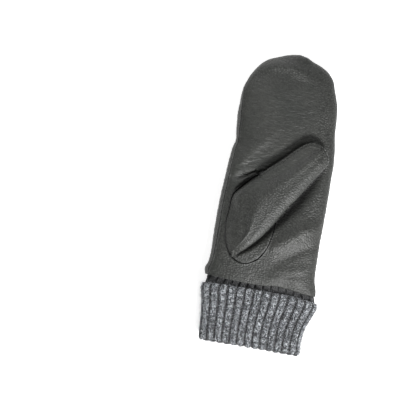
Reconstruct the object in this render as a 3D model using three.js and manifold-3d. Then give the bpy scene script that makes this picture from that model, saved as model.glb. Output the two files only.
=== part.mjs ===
// A leather mitten for the left hand with a turned-back rib-knit cuff, lying palm up with its thumb
// folded across the palm. Millimetres, +Z up, fingertips towards +Y, thumb side towards -X.
// The leather is a back panel and a palm panel sewn along both sides and round the fingertips, and a
// one-piece thumb sewn into an oval hole in the palm. The cuff is one knitted tube, sewn up inside the
// leather's hem at its top, folded at its bottom and turned back up outside.
import * as THREE from "three";
import { mergeVertices } from "three/addons/utils/BufferGeometryUtils.js";
import Module from "manifold-3d";

const wasm = await Module();
wasm.setup();

// Leather body
const bodyLength = 221; // from the hem to the fingertips
const bodyWidth = 100; // across the knuckles
const bodyHeight = 24; // lying flat, where it is thickest
const leather = 1.4; // one layer
const hemWall = 2.4; // the hem, where the leather is folded in on itself
const hemDepth = 13; // how far up the folded-in hem reaches
const hemStep = 2; // over how much of its depth the folded-in hem thins out
const hemRoll = 0.6; // how far the hem's rounded edge stands out
const seamShare = 0.42; // height of the side seams as a share of the height there
const topRound = 38; // how far in from the edge the palm goes on rising
const topSquareness = 2.6; // 2 is an ellipse, more is squarer
const floorRound = 15; // how far in from the edge the back of the hand meets the floor
const seamGap = 0.3; // clearance between two panels along a seam

// Thumb
const thumbLength = 132.4; // along its own axis, from the foot of the hole to the tip
const thumbWidth = 42;
const thumbHeight = 13; // above the palm
const thumbAngle = THREE.MathUtils.degToRad(50); // from +X towards +Y
const thumbRootIn = 2.8; // where its axis line starts: in from the left edge at the knuckles
const thumbRootUp = 34.1; // and up from the hem
const thumbRoll = 7; // how far in the rounded lower edge reaches
const thumbShoulder = 0.93; // height where the rounded edges end, as a share of the crown's
const thumbLift = 1.2; // under the thumb, where it lies on the palm
const thumbFloat = 0.5; // how much of the palm's fall at its edge the thumb's tip ignores
const thumbFloatFrom = 0.446; // the share of its length from where it does so
const thumbNose = 5.8; // height of the tip's end above the palm
const holeEnd = 0.333; // the hole's far end, across from the axis line, as a share of thumbWidth
const riseLimit = 0.6; // the most of a section's width that its upper edge takes to rise
const rollLimit = 0.4; // the most of it that its rounded lower edge takes
const underShift = 0.2; // the share of its length in which the underside's middle comes to the axis line

// Cuff
const cuffHeight = 52; // from the fold up to the turned-back edge
const cuffWidth = 104; // across the middle of the turned-back layer
const cuffThickness = 20; // lying flat
const cuffRound = 16; // how far in from its side edges a layer goes on rising
const hemToCuff = 7; // bare knit that shows between the turned-back edge and the hem
const knit = 2.6; // one layer of knit, over the ribs
const ribDepth = 1.0;
const ribCount = 29;
const layerGap = 0.5; // between the turned-back layer and the tube inside it
const tubeInsideLeather = 16; // how far the tube runs up inside the hem
const tubeClearance = 0.7; // between the tube and the folded hem
const foldScallop = 1.6; // how far each rib bulges down past the grooves at the fold

// How finely the surfaces are cut
const bodyRows = 27;
const rowCrowding = 0.6; // 0 spaces the rows evenly, more crowds them at the hem and the fingertips
const bodyColumns = 18;
const thumbColumns = 26;
const outlineSteps = 120;
const ribColumns = 3; // a groove and two places on the rib's back

// Outline of the leather from above. at is a share of bodyLength up from the hem, left and right are
// shares of half of bodyWidth, and leftSeam is how far in from the left edge the seam lies.
const outline = [
  { at: 0.0, left: 1.07, right: 1.08, leftSeam: 0.06 },
  { at: 0.023, left: 1.09, right: 1.065, leftSeam: 0.07 },
  { at: 0.055, left: 1.05, right: 1.02, leftSeam: 0.07 },
  { at: 0.1, left: 1.03, right: 1.0, leftSeam: 0.07 },
  { at: 0.19, left: 1.036, right: 0.998, leftSeam: 0.08 },
  { at: 0.32, left: 1.034, right: 0.998, leftSeam: 0.08 },
  { at: 0.42, left: 1.018, right: 0.998, leftSeam: 0.08 },
  { at: 0.51, left: 0.99, right: 0.994, leftSeam: 0.08 },
  { at: 0.56, left: 0.965, right: 0.988, leftSeam: 0.07 },
  { at: 0.593, left: 0.932, right: 0.976, leftSeam: 0.06 },
  { at: 0.63, left: 0.955, right: 0.96, leftSeam: 0.07 },
  { at: 0.69, left: 0.976, right: 0.925, leftSeam: 0.08 },
  { at: 0.75, left: 0.977, right: 0.906, leftSeam: 0.06 },
  { at: 0.81, left: 0.962, right: 0.87, leftSeam: 0.03 },
  { at: 0.845, left: 0.915, right: 0.82, leftSeam: 0.01 },
  { at: 0.875, left: 0.86, right: 0.775, leftSeam: 0 },
  { at: 0.91, left: 0.77, right: 0.72, leftSeam: 0 },
  { at: 0.937, left: 0.68, right: 0.62, leftSeam: 0 },
  { at: 0.956, left: 0.57, right: 0.5, leftSeam: 0 },
  { at: 0.978, left: 0.34, right: 0.27, leftSeam: 0 },
  { at: 0.992, left: 0.18, right: 0.15, leftSeam: 0 },
  { at: 1.0, left: 0.0, right: 0.0, leftSeam: 0 },
];
const rightSeam = 0.02; // how far in from the right edge, on the underside, that seam lies
const seamMeets = 0.17; // the share of the outline, up to the tip, over which it comes up to the edge

// Height of the leather body as a share of bodyHeight, up from the hem.
const heights = [
  { at: 0.0, height: 0.8 },
  { at: 0.08, height: 0.88 },
  { at: 0.2, height: 0.98 },
  { at: 0.5, height: 1.0 },
  { at: 0.75, height: 0.97 },
  { at: 0.92, height: 0.88 },
  { at: 1.0, height: 0.82 },
];

// Dents and folds of the palm. x is a share of half of bodyWidth, y of bodyLength, length and width of
// bodyWidth, depth of bodyHeight (a negative one is a ridge), and turn is in degrees from +X.
const palmFolds = [
  { x: -0.66, y: 0.448, turn: 22, length: 0.2, width: 0.035, depth: 0.1 },
  { x: -0.78, y: 0.5, turn: 20, length: 0.14, width: 0.04, depth: -0.045 },
  { x: -0.84, y: 0.6, turn: 65, length: 0.16, width: 0.05, depth: 0.06 },
  { x: 0.1, y: 0.905, turn: -4, length: 0.3, width: 0.04, depth: -0.035 },
  { x: 0.16, y: 0.96, turn: -20, length: 0.12, width: 0.05, depth: 0.05 },
  { x: 0.52, y: 0.09, turn: 17, length: 0.3, width: 0.05, depth: 0.06 },
  { x: 0.55, y: 0.2, turn: 30, length: 0.28, width: 0.07, depth: -0.05 },
  { x: 0.2, y: 0.02, turn: 0, length: 0.2, width: 0.06, depth: -0.04 },
];

// The thumb over its hole, section by section. at is a share of thumbLength. seamUp and seamLow are where
// the section meets the hole on the fingertips' and the wrist's side, edgeUp and edgeLow are its own edges
// seen from above, all as shares of thumbWidth from the axis line. height is a share of thumbHeight, and
// rise is how far in from its upper edge the section goes on rising, as a share of thumbWidth.
const thumbHole = [
  { at: 0.0, seamUp: -0.5, edgeUp: -0.5, edgeLow: -0.5, seamLow: -0.5, height: 0.02, rise: 0.1 },
  { at: 0.012, seamUp: -0.32, edgeUp: -0.32, edgeLow: -0.54, seamLow: -0.68, height: 0.08, rise: 0.2 },
  { at: 0.038, seamUp: -0.14, edgeUp: -0.14, edgeLow: -0.52, seamLow: -0.795, height: 0.28, rise: 0.32 },
  { at: 0.083, seamUp: 0.03, edgeUp: 0.03, edgeLow: -0.545, seamLow: -0.874, height: 0.5, rise: 0.45 },
  { at: 0.143, seamUp: 0.222, edgeUp: 0.222, edgeLow: -0.565, seamLow: -0.91, height: 0.72, rise: 0.58 },
  { at: 0.219, seamUp: 0.4, edgeUp: 0.4, edgeLow: -0.58, seamLow: -0.87, height: 0.88, rise: 0.6 },
  { at: 0.295, seamUp: 0.565, edgeUp: 0.555, edgeLow: -0.567, seamLow: -0.767, height: 0.95, rise: 0.45 },
  { at: 0.37, seamUp: 0.585, edgeUp: 0.57, edgeLow: -0.548, seamLow: -0.612, height: 0.99, rise: 0.3 },
  { at: 0.446, seamUp: 0.575, edgeUp: 0.55, edgeLow: -0.507, seamLow: -0.386, height: 1.0, rise: 0.24 },
  { at: 0.498, seamUp: 0.565, edgeUp: 0.535, edgeLow: -0.48, seamLow: -0.12, height: 1.0, rise: 0.22 },
  { at: 0.524, seamUp: 0.53, edgeUp: 0.525, edgeLow: -0.466, seamLow: 0.06, height: 1.0, rise: 0.22 },
];

// The closed tube beyond the hole, in the same shares. height is here the section's own thickness.
const thumbTube = [
  { at: 0.541, edgeUp: 0.515, edgeLow: -0.458, height: 1.0, rise: 0.22 },
  { at: 0.6, edgeUp: 0.5, edgeLow: -0.445, height: 0.99, rise: 0.24 },
  { at: 0.71, edgeUp: 0.45, edgeLow: -0.4, height: 0.97, rise: 0.26 },
  { at: 0.82, edgeUp: 0.424, edgeLow: -0.357, height: 0.93, rise: 0.26 },
  { at: 0.9, edgeUp: 0.39, edgeLow: -0.33, height: 0.88, rise: 0.25 },
  { at: 0.945, edgeUp: 0.335, edgeLow: -0.3, height: 0.8, rise: 0.22 },
  { at: 0.975, edgeUp: 0.25, edgeLow: -0.23, height: 0.64, rise: 0.18 },
  { at: 0.992, edgeUp: 0.14, edgeLow: -0.12, height: 0.4, rise: 0.1 },
];

// The cuff's turned-back layer from above. at is a share of cuffHeight up from the fold, and left and
// right are shares of half of cuffWidth.
const cuffOutline = [
  { at: 0.0, left: 0.94, right: 0.93 },
  { at: 0.2, left: 0.957, right: 0.925 },
  { at: 0.45, left: 0.975, right: 0.95 },
  { at: 0.75, left: 1.02, right: 1.05 },
  { at: 0.92, left: 1.055, right: 1.1 },
  { at: 1.0, left: 1.045, right: 1.09 },
];

const hemY = cuffHeight + hemToCuff;

const mix = (a, b, t) => a + (b - a) * t;
const smooth = (t) => {
  const s = THREE.MathUtils.clamp(t, 0, 1);
  return s * s * (3 - 2 * s);
};

// Height of a rounded edge, from 0 at the edge to 1 from t = 1 on.
const rounded = (t, squareness) =>
  (1 - (1 - THREE.MathUtils.clamp(t, 0, 1)) ** squareness) ** (1 / squareness);

// The value of a table's column at a place, on a smooth curve through its rows.
function along(rows, at, column) {
  const place = THREE.MathUtils.clamp(at, rows[0].at, rows.at(-1).at);
  let i = 0;
  while (i < rows.length - 2 && rows[i + 1].at < place) i++;
  const slope = (k) => {
    const a = rows[Math.max(k - 1, 0)];
    const b = rows[Math.min(k + 1, rows.length - 1)];
    return (b[column] - a[column]) / (b.at - a.at);
  };
  const span = rows[i + 1].at - rows[i].at;
  const t = (place - rows[i].at) / span;
  const [t2, t3] = [t * t, t * t * t];
  return (
    (2 * t3 - 3 * t2 + 1) * rows[i][column] +
    (t3 - 2 * t2 + t) * span * slope(i) +
    (3 * t2 - 2 * t3) * rows[i + 1][column] +
    (t3 - t2) * span * slope(i + 1)
  );
}

// A mesh is gathered point by point, and a point that is met again is used again.
class Surface {
  constructor() {
    this.points = [];
    this.triangles = [];
    this.known = new Map();
  }

  point(p) {
    const key = [p.x, p.y, p.z].map((v) => Math.round(v * 2000)).join();
    if (!this.known.has(key)) {
      this.known.set(key, this.points.length);
      this.points.push(p);
    }
    return this.known.get(key);
  }

  triangle(a, b, c) {
    if (a !== b && b !== c && c !== a) this.triangles.push([a, b, c]);
  }

  quad(a, b, c, d) {
    const [ia, ib, ic, id] = [a, b, c, d].map((p) => this.point(p));
    this.triangle(ia, ib, ic);
    this.triangle(ia, ic, id);
  }

  // The closed mesh, turned so that its faces point out.
  geometry() {
    const volume = this.triangles.reduce((sum, [a, b, c]) => {
      const [p, q, r] = [this.points[a], this.points[b], this.points[c]];
      return sum + p.dot(q.clone().cross(r));
    }, 0);
    const faces = this.triangles.map(([a, b, c]) => (volume > 0 ? [a, b, c] : [a, c, b]));
    const made = new THREE.BufferGeometry().setFromPoints(this.points);
    made.setIndex(faces.flat());
    return made;
  }
}

// A wall between an outer and an inner grid of points, closed along all four of its edges. From row
// closedFrom on, the first and last columns are one line, as on a tube.
function wallGeometry(outer, inner, { closedFrom = Infinity, roll = null } = {}) {
  const s = new Surface();
  const last = outer.length - 1;
  const end = outer[0].length - 1;
  for (let i = 0; i < last; i++) {
    for (let j = 0; j < end; j++) {
      s.quad(outer[i][j], outer[i][j + 1], outer[i + 1][j + 1], outer[i + 1][j]);
      s.quad(inner[i][j], inner[i + 1][j], inner[i + 1][j + 1], inner[i][j + 1]);
    }
    if (i >= closedFrom) continue;
    s.quad(outer[i][0], outer[i + 1][0], inner[i + 1][0], inner[i][0]);
    s.quad(outer[i][end], inner[i][end], inner[i + 1][end], outer[i + 1][end]);
  }
  for (let j = 0; j < end; j++) {
    const [a, b, c, d] = [outer[0][j], inner[0][j], inner[0][j + 1], outer[0][j + 1]];
    if (!roll) {
      s.quad(a, b, c, d);
      continue;
    }
    const middle = (p, q) => p.clone().add(q).multiplyScalar(0.5).add(roll);
    const [near, far] = [middle(a, b), middle(d, c)];
    s.quad(a, near, far, d);
    s.quad(near, b, c, far);
    if (j === 0) s.triangle(s.point(a), s.point(b), s.point(near));
    if (j === end - 1) s.triangle(s.point(d), s.point(far), s.point(c));
  }
  return s.geometry();
}

// A ring whose section is a closed loop of points, swept round: both directions wrap.
function ringGeometry(loops) {
  const s = new Surface();
  loops.forEach((loop, i) => {
    const next = loops[(i + 1) % loops.length];
    loop.forEach((p, j) => {
      const k = (j + 1) % loop.length;
      s.quad(p, loop[k], next[k], next[j]);
    });
  });
  return s.geometry();
}

// A manifold-3d solid of a closed three.js geometry, and the way back.
function solidOf(geometry) {
  const bare = geometry.clone();
  bare.deleteAttribute("normal");
  bare.deleteAttribute("uv");
  const merged = mergeVertices(bare);
  return new wasm.Manifold(
    new wasm.Mesh({
      numProp: 3,
      vertProperties: new Float32Array(merged.attributes.position.array),
      triVerts: new Uint32Array(merged.index.array),
    }),
  );
}

function geometryOf(solid) {
  const made = solid.getMesh();
  const geometry = new THREE.BufferGeometry();
  geometry.setAttribute("position", new THREE.BufferAttribute(made.vertProperties, 3));
  geometry.setIndex(new THREE.BufferAttribute(made.triVerts, 1));
  return geometry;
}

// One side of the leather's outline, from the hem to the fingertips.
const sideCurve = (column, sign) =>
  new THREE.CatmullRomCurve3(
    outline.map(
      (row) =>
        new THREE.Vector3((sign * row[column] * bodyWidth) / 2, hemY + row.at * bodyLength, 0),
    ),
  );
const leftSide = sideCurve("left", -1);
const rightSide = sideCurve("right", 1);
const outlineLine = [
  new THREE.Vector3((-outline[0].left * bodyWidth) / 2, hemY - bodyWidth, 0),
  ...leftSide.getSpacedPoints(outlineSteps),
  ...rightSide.getSpacedPoints(outlineSteps).reverse().slice(1),
  new THREE.Vector3((outline[0].right * bodyWidth) / 2, hemY - bodyWidth, 0),
];

// How far a place in plan lies from the leather's outline.
function edgeDistance(x, y) {
  let nearest = Infinity;
  for (let i = 0; i + 1 < outlineLine.length; i++) {
    const [a, b] = [outlineLine[i], outlineLine[i + 1]];
    const [dx, dy] = [b.x - a.x, b.y - a.y];
    const t = ((x - a.x) * dx + (y - a.y) * dy) / (dx * dx + dy * dy);
    const s = THREE.MathUtils.clamp(t, 0, 1);
    nearest = Math.min(nearest, Math.hypot(x - a.x - s * dx, y - a.y - s * dy));
  }
  return nearest;
}

// A point of one side of the outline, moved inwards.
function sidePoint(curve, u, inset) {
  const p = curve.getPointAt(u);
  const before = curve.getPointAt(Math.max(u - 0.002, 0));
  const after = curve.getPointAt(Math.min(u + 0.002, 1));
  const way = after.sub(before).normalize();
  const inwards =
    u > 0.999
      ? new THREE.Vector3(0, -1, 0)
      : new THREE.Vector3(way.y, -way.x, 0).multiplyScalar(curve === leftSide ? 1 : -1);
  return p.addScaledVector(inwards, inset);
}

const shareUp = (y) => (y - hemY) / bodyLength;
const heightAt = (y) => along(heights, shareUp(y), "height") * bodyHeight;

// Depth of the palm's dents and folds at a place.
function foldDepth(x, y) {
  return palmFolds.reduce((sum, f) => {
    const turn = THREE.MathUtils.degToRad(f.turn);
    const dx = x - (f.x * bodyWidth) / 2;
    const dy = y - hemY - f.y * bodyLength;
    const run = (dx * Math.cos(turn) + dy * Math.sin(turn)) / ((f.length * bodyWidth) / 2);
    const off = (dy * Math.cos(turn) - dx * Math.sin(turn)) / (f.width * bodyWidth);
    return sum + f.depth * bodyHeight * Math.exp(-(run * run + off * off));
  }, 0);
}

// Height of the body's upper skin, or of a skin that lies inset below it.
function topHeight(x, y, inset = 0, seamShift = 0) {
  const away = Math.max(edgeDistance(x, y) - inset, 0);
  const full = heightAt(y);
  const seam = full * seamShare + seamShift;
  const rise = rounded(away / (topRound - inset), topSquareness);
  return seam + (full - inset - seam - foldDepth(x, y)) * rise;
}

function bottomHeight(x, y, inset = 0, seamShift = 0) {
  const away = Math.max(edgeDistance(x, y) - inset, 0);
  const seam = heightAt(y) * seamShare + seamShift;
  return seam - (seam - inset) * rounded(away / (floorRound - inset), 2);
}

// A point of the body's skin: u runs from hem to tip, and turn from the right edge over the palm to the
// left edge and on under the back of the hand.
function bodyPoint(u, turn, inset, seamShift) {
  const l = sidePoint(leftSide, u, inset);
  const r = sidePoint(rightSide, u, inset);
  const p = l.lerp(r, (1 + Math.cos(turn)) / 2);
  const above = Math.sin(turn) >= 0;
  p.z = (above ? topHeight : bottomHeight)(p.x, p.y, inset, seamShift);
  return p;
}

// The leather is thicker over the hem, where it is folded in.
const wallAt = (y) => mix(hemWall, leather, smooth((y - hemY - hemDepth) / hemStep + 1));

// One of the two panels: the palm spans the turns over the top between the seams, the back the rest.
function panelGeometry(isPalm) {
  const outer = [];
  const inner = [];
  const gapTurn = seamGap / (bodyWidth / 2);
  for (let i = 0; i <= bodyRows; i++) {
    const even = (2 * Math.PI * i) / bodyRows;
    const u = (even - rowCrowding * Math.sin(even)) / (2 * Math.PI);
    const y = leftSide.getPointAt(u).y;
    const leftInset = along(outline, shareUp(y), "leftSeam");
    const leftTurn = Math.PI - Math.acos(1 - Math.max(leftInset, 0));
    const rightTurn = -Math.acos(1 - rightSeam * smooth((1 - u) / seamMeets));
    const from = (isPalm ? rightTurn : leftTurn) + gapTurn;
    const to = (isPalm ? leftTurn : rightTurn + 2 * Math.PI) - gapTurn;
    const shift = (isPalm ? seamGap : -seamGap) / 2;
    const turns = Array.from({ length: bodyColumns + 1 }, (_, j) => mix(from, to, j / bodyColumns));
    outer.push(turns.map((turn) => bodyPoint(u, turn, 0, shift)));
    inner.push(turns.map((turn) => bodyPoint(u, turn, wallAt(y), shift)));
  }
  return wallGeometry(outer, inner, { roll: new THREE.Vector3(0, -hemRoll, 0) });
}

// The thumb's own axes in plan: along runs to its tip, across square to it, towards the fingertips.
const thumbAlong = new THREE.Vector3(Math.cos(thumbAngle), Math.sin(thumbAngle), 0);
const thumbAcross = new THREE.Vector3(-Math.sin(thumbAngle), Math.cos(thumbAngle), 0);
const thumbRoot = new THREE.Vector3(thumbRootIn - bodyWidth / 2, hemY + thumbRootUp, 0);

// A point of the thumb: at is a share of its length, across a share of its width, and up is above the
// palm, or above the level that the stiff tube keeps where the palm falls away under it.
function thumbPoint(at, across, up) {
  const p = thumbRoot
    .clone()
    .addScaledVector(thumbAlong, at * thumbLength)
    .addScaledVector(thumbAcross, across * thumbWidth);
  const palm = topHeight(p.x, p.y);
  const float = thumbFloat * smooth((at - thumbFloatFrom) / (1 - at));
  p.z = mix(palm, Math.max(palm, heightAt(p.y)), float) + up;
  return p;
}

// A rounded edge of a section, as an arc of an ellipse through some turns in degrees. reach is positive
// on the upper edge and negative on the lower one.
const edgeArc = (edge, reach, bottom, top, turns) =>
  turns.map((degrees) => {
    const turn = THREE.MathUtils.degToRad(degrees);
    return [edge - reach * (1 - Math.cos(turn)), mix(bottom, top, (1 + Math.sin(turn)) / 2)];
  });

// A section across the hole: up out of the seam, over the top, round the lower edge, back under it to a
// crease, and out again along the palm to the seam on the other side. Near the foot it is too low to turn
// under, and slopes down to the seam.
function holeSection(row) {
  const top = row.height * thumbHeight;
  const lift = Math.min(thumbLift, top / 3);
  const shoulder = top * thumbShoulder;
  const width = row.edgeUp - row.edgeLow;
  const rise = Math.min(row.rise, width * riseLimit);
  const roll = Math.min(thumbRoll / thumbWidth, width * rollLimit);
  const middle = (row.edgeUp - rise + row.edgeLow + roll) / 2;
  const over = [
    [row.seamUp, -leather],
    ...edgeArc(row.edgeUp, rise, -shoulder, shoulder, [0, 25, 55, 90]),
    [middle, top],
  ];
  if (top < 4 * leather) {
    const slope = [0, 0.3, 0.7, 1].map((t) => [
      mix(row.edgeLow + roll, row.seamLow, t),
      shoulder * (1 - smooth(t)),
    ]);
    return [...over, ...slope];
  }
  const crease = row.edgeLow + roll + leather / thumbWidth;
  const under = smooth(((row.seamLow - row.edgeLow) * thumbWidth) / thumbRoll);
  return [
    ...over,
    ...edgeArc(row.edgeLow, -roll, lift, shoulder, [90, 60, 20, -20, -60, -90]),
    [crease, lift * 0.8],
    [mix(crease, row.seamLow, 0.5), lift * mix(0.3, 1, under)],
    [row.seamLow, lift * under],
  ];
}

// A section of the closed tube, from its underside round over the upper edge and back.
function tubeSection(row) {
  const thick = row.height * (thumbHeight - thumbLift);
  const middle = mix(thumbNose, (thumbHeight + thumbLift) / 2, row.height);
  const bottom = middle - thick / 2;
  const shoulder = bottom + thick * thumbShoulder;
  const roll = Math.min(thumbRoll / thumbWidth, (row.edgeUp - row.edgeLow) * rollLimit);
  const start = mix(holeEnd, 0, smooth((row.at - thumbTube[0].at) / underShift));
  return [
    [start, bottom],
    ...edgeArc(row.edgeUp, row.rise, bottom, shoulder, [-60, -20, 20, 60, 90]),
    [(row.edgeUp - row.rise + row.edgeLow + roll) / 2, bottom + thick],
    ...edgeArc(row.edgeLow, -roll, bottom, shoulder, [90, 60, 20, -20, -60, -90]),
    [start, bottom],
  ];
}

function sectionLine(row, controls) {
  const curve = new THREE.CatmullRomCurve3(
    controls.map(([across, up]) => thumbPoint(row.at, across, up)),
  );
  return curve.getSpacedPoints(thumbColumns);
}

// The thumb's outer skin, row by row, from the foot of the hole to the tip.
function thumbSkin() {
  const single = (p) => Array.from({ length: thumbColumns + 1 }, () => p.clone());
  return [
    single(thumbPoint(thumbHole[0].at, thumbHole[0].seamUp, 0)),
    ...thumbHole.slice(1).map((row) => sectionLine(row, holeSection(row))),
    ...thumbTube.map((row) => sectionLine(row, tubeSection(row))),
    single(thumbPoint(1, 0, thumbNose)),
  ];
}

// The same skin moved inwards by the leather's thickness, square to itself.
function liningSkin(skin, closedFrom) {
  const last = skin.length - 1;
  const end = skin[0].length - 1;
  return skin.map((row, i) =>
    row.map((p, j) => {
      if (i === 0) return p.clone().add(new THREE.Vector3(0, 0, -leather));
      if (i === last) return p.clone().addScaledVector(thumbAlong, -leather);
      const welded = i >= closedFrom && (j === 0 || j === end);
      const left = welded ? row[end - 1] : row[Math.max(j - 1, 0)];
      const right = welded ? row[1] : row[Math.min(j + 1, end)];
      const back = welded && i === closedFrom ? p : skin[i - 1][j];
      const way = skin[i + 1][j].clone().sub(back);
      const normal = way.cross(right.clone().sub(left)).normalize();
      return p.clone().addScaledVector(normal, leather);
    }),
  );
}

const tubeFrom = thumbHole.length;
const thumbOuter = thumbSkin();
const thumbInner = liningSkin(thumbOuter, tubeFrom);

// The hole in the palm follows the thumb's edge, with the seam's clearance round it.
function holePrism() {
  const rows = thumbOuter.slice(0, tubeFrom + 1);
  const line = [
    ...rows.map((row) => row[0]),
    ...rows
      .slice(1, -1)
      .reverse()
      .map((row) => row.at(-1)),
  ];
  const grown = line.map((p, i) => {
    const way = line[(i + 1) % line.length].clone().sub(line.at(i - 1)).setZ(0).normalize();
    return new THREE.Vector2(p.x - way.y * seamGap, p.y + way.x * seamGap);
  });
  const prism = new THREE.ExtrudeGeometry(new THREE.Shape(grown), {
    depth: bodyHeight,
    bevelEnabled: false,
  });
  return prism.translate(0, 0, bodyHeight / 2);
}

// The depths of the cuff's two layers below the outer face.
const flapBack = knit;
const tubeFace = knit + layerGap;
const tubeBack = 2 * knit + layerGap;
const tubeTop = hemY + tubeInsideLeather;

// A point of the cuff: y up from the fold, turn round from the right edge over the palm side, and depth
// below the outer face. Above the turned-back edge the tube narrows to fit inside the hem.
function cuffPoint(y, turn, depth) {
  const across = (1 + Math.cos(turn)) / 2;
  const above = Math.sin(turn) >= 0;
  const edge = (column) => (along(cuffOutline, y / cuffHeight, column) * cuffWidth) / 2 - depth;
  const folded = new THREE.Vector3(mix(-edge("left"), edge("right"), across), y, 0);
  const away = ((edge("left") + edge("right")) / 2) * (1 - Math.abs(Math.cos(turn)));
  const swell = (cuffThickness / 2 - depth) * rounded(away / (cuffRound - depth), 2);
  folded.z = cuffThickness / 2 + (above ? swell : -swell);
  const inset = depth - tubeFace + hemWall + tubeClearance;
  const side = (column) => (along(outline, shareUp(y), column) * bodyWidth) / 2 - inset;
  const sewn = new THREE.Vector3(mix(-side("left"), side("right"), across), y, 0);
  sewn.z = (above ? topHeight : bottomHeight)(sewn.x, Math.max(y, hemY), inset);
  return folded.lerp(sewn, smooth((y - cuffHeight) / hemToCuff));
}

// Points evenly spaced round the cuff.
function cuffLoop(y, depth) {
  const turns = Array.from({ length: outlineSteps }, (_, k) => (2 * Math.PI * k) / outlineSteps);
  const curve = new THREE.CatmullRomCurve3(
    turns.map((turn) => cuffPoint(y, turn, depth)),
    true,
  );
  curve.arcLengthDivisions = 8 * outlineSteps;
  return curve.getSpacedPoints(ribCount * ribColumns).slice(0, -1);
}

// The cuff's section: up the outside, over the turned-back edge, down behind it, up the tube, over its
// top, down the inside and round the fold. ribs is how much of ribDepth the grooves have there.
function cuffSection() {
  const round = knit / 4;
  const fold = knit / 2;
  return [
    ...[0.02, 0.22, 0.45, 0.7, 0.88].map((t) => ({ depth: 0, y: t * cuffHeight, ribs: 1 })),
    { depth: 0, y: cuffHeight - round, ribs: 1 },
    { depth: round, y: cuffHeight, ribs: 0.6 },
    { depth: flapBack - round, y: cuffHeight, ribs: 0 },
    ...[0.96, 0.5, 0.06].map((t) => ({ depth: flapBack, y: t * cuffHeight, ribs: 0 })),
    { depth: (flapBack + tubeFace) / 2, y: 0.05 * cuffHeight, ribs: 0 },
    ...[0.06, 0.5, 0.96].map((t) => ({ depth: tubeFace, y: t * cuffHeight, ribs: 0 })),
    ...[0.3, 0.7, 1].map((t) => ({ depth: tubeFace, y: cuffHeight + t * hemToCuff, ribs: 0.8 })),
    { depth: tubeFace, y: hemY + tubeInsideLeather / 2, ribs: 0 },
    { depth: tubeFace, y: tubeTop, ribs: 0 },
    { depth: tubeBack, y: tubeTop, ribs: 0 },
    { depth: tubeBack, y: hemY + tubeInsideLeather / 2, ribs: 0 },
    { depth: tubeBack, y: hemY, ribs: 0 },
    ...[1, 0.7, 0.35, 0.04].map((t) => ({ depth: tubeBack, y: t * cuffHeight, ribs: 0.5 })),
    { depth: tubeBack - fold, y: -0.5 * fold, ribs: 0.5, bulge: 0.7 },
    { depth: tubeBack / 2, y: -fold, ribs: 0.6, bulge: 1 },
    { depth: fold, y: -0.5 * fold, ribs: 1, bulge: 0.7 },
  ];
}

// The knitted tube: a groove at the first place of each rib, and the rib's back at the others. The ribs
// bulge down past the grooves at the fold.
function cuffGeometry() {
  const loops = cuffSection().map(({ depth, y, ribs, bulge = 0 }) => {
    const inwards = depth === tubeBack ? -1 : 1;
    const backs = cuffLoop(y - bulge * foldScallop, depth);
    const grooves = cuffLoop(y, depth + inwards * ribs * ribDepth);
    return backs.map((back, k) => (k % ribColumns === 0 ? grooves[k] : back));
  });
  return ringGeometry(loops);
}

// Finishes
const leatherFinish = { color: 0x4b4c48, roughness: 0.55, metalness: 0 };
const knitFinish = { color: 0x6c7074, roughness: 0.95, metalness: 0 };

function piece(name, geometry, finish) {
  geometry.computeVertexNormals();
  const mesh = new THREE.Mesh(geometry, new THREE.MeshStandardMaterial(finish));
  mesh.name = name;
  return mesh;
}

// The mitten
const palmSolid = solidOf(panelGeometry(true)).subtract(solidOf(holePrism()));
const mitten = new THREE.Group();
mitten.add(
  piece("back_panel", panelGeometry(false), leatherFinish),
  piece("palm_panel", geometryOf(palmSolid), leatherFinish),
  piece("thumb", wallGeometry(thumbOuter, thumbInner, { closedFrom: tubeFrom }), leatherFinish),
  piece("cuff", cuffGeometry(), knitFinish),
);

// The frame's origin lies under the middle of the mitten.
const box = new THREE.Box3().setFromObject(mitten);
const centre = box.getCenter(new THREE.Vector3());
mitten.position.set(-centre.x, -centre.y, -box.min.z);

export default mitten;
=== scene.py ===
"""A leather mitten with a turned-back rib-knit cuff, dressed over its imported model.

Lengths are millimetres in the mitten's own axes, as in the part's source: X across with the thumb side
at -X, Y up from the cuff's fold, Z up out of the palm. to_frame turns them into the frame's metres.
"""
import functools
import math

import bpy
import numpy as np
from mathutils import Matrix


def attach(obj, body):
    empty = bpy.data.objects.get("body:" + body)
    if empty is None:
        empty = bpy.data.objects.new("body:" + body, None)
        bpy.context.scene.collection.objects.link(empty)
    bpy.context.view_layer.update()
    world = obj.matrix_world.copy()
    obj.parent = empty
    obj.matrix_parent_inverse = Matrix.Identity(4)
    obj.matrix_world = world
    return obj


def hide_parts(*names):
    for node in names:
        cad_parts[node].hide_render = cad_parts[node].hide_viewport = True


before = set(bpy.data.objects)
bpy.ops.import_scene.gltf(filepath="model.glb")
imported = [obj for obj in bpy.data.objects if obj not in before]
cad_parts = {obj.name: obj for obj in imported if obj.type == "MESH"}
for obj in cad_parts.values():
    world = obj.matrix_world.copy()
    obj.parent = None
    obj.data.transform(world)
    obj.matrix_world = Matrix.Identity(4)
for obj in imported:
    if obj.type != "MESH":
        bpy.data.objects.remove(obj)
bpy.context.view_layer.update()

bl_info = {
    "name": "Leather mitten",
    "version": (1, 0, 0),
    "blender": (4, 5, 0),
    "location": "3D View > Sidebar > Mitten",
    "description": "Makes a leather mitten with a sewn-in thumb and a turned-back rib-knit cuff",
    "category": "Add Mesh",
}

MM = 0.001
ORIGIN = np.array([0.8978, 138.55, -0.0049])  # where the frame's origin lies in the mitten's own axes

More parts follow.
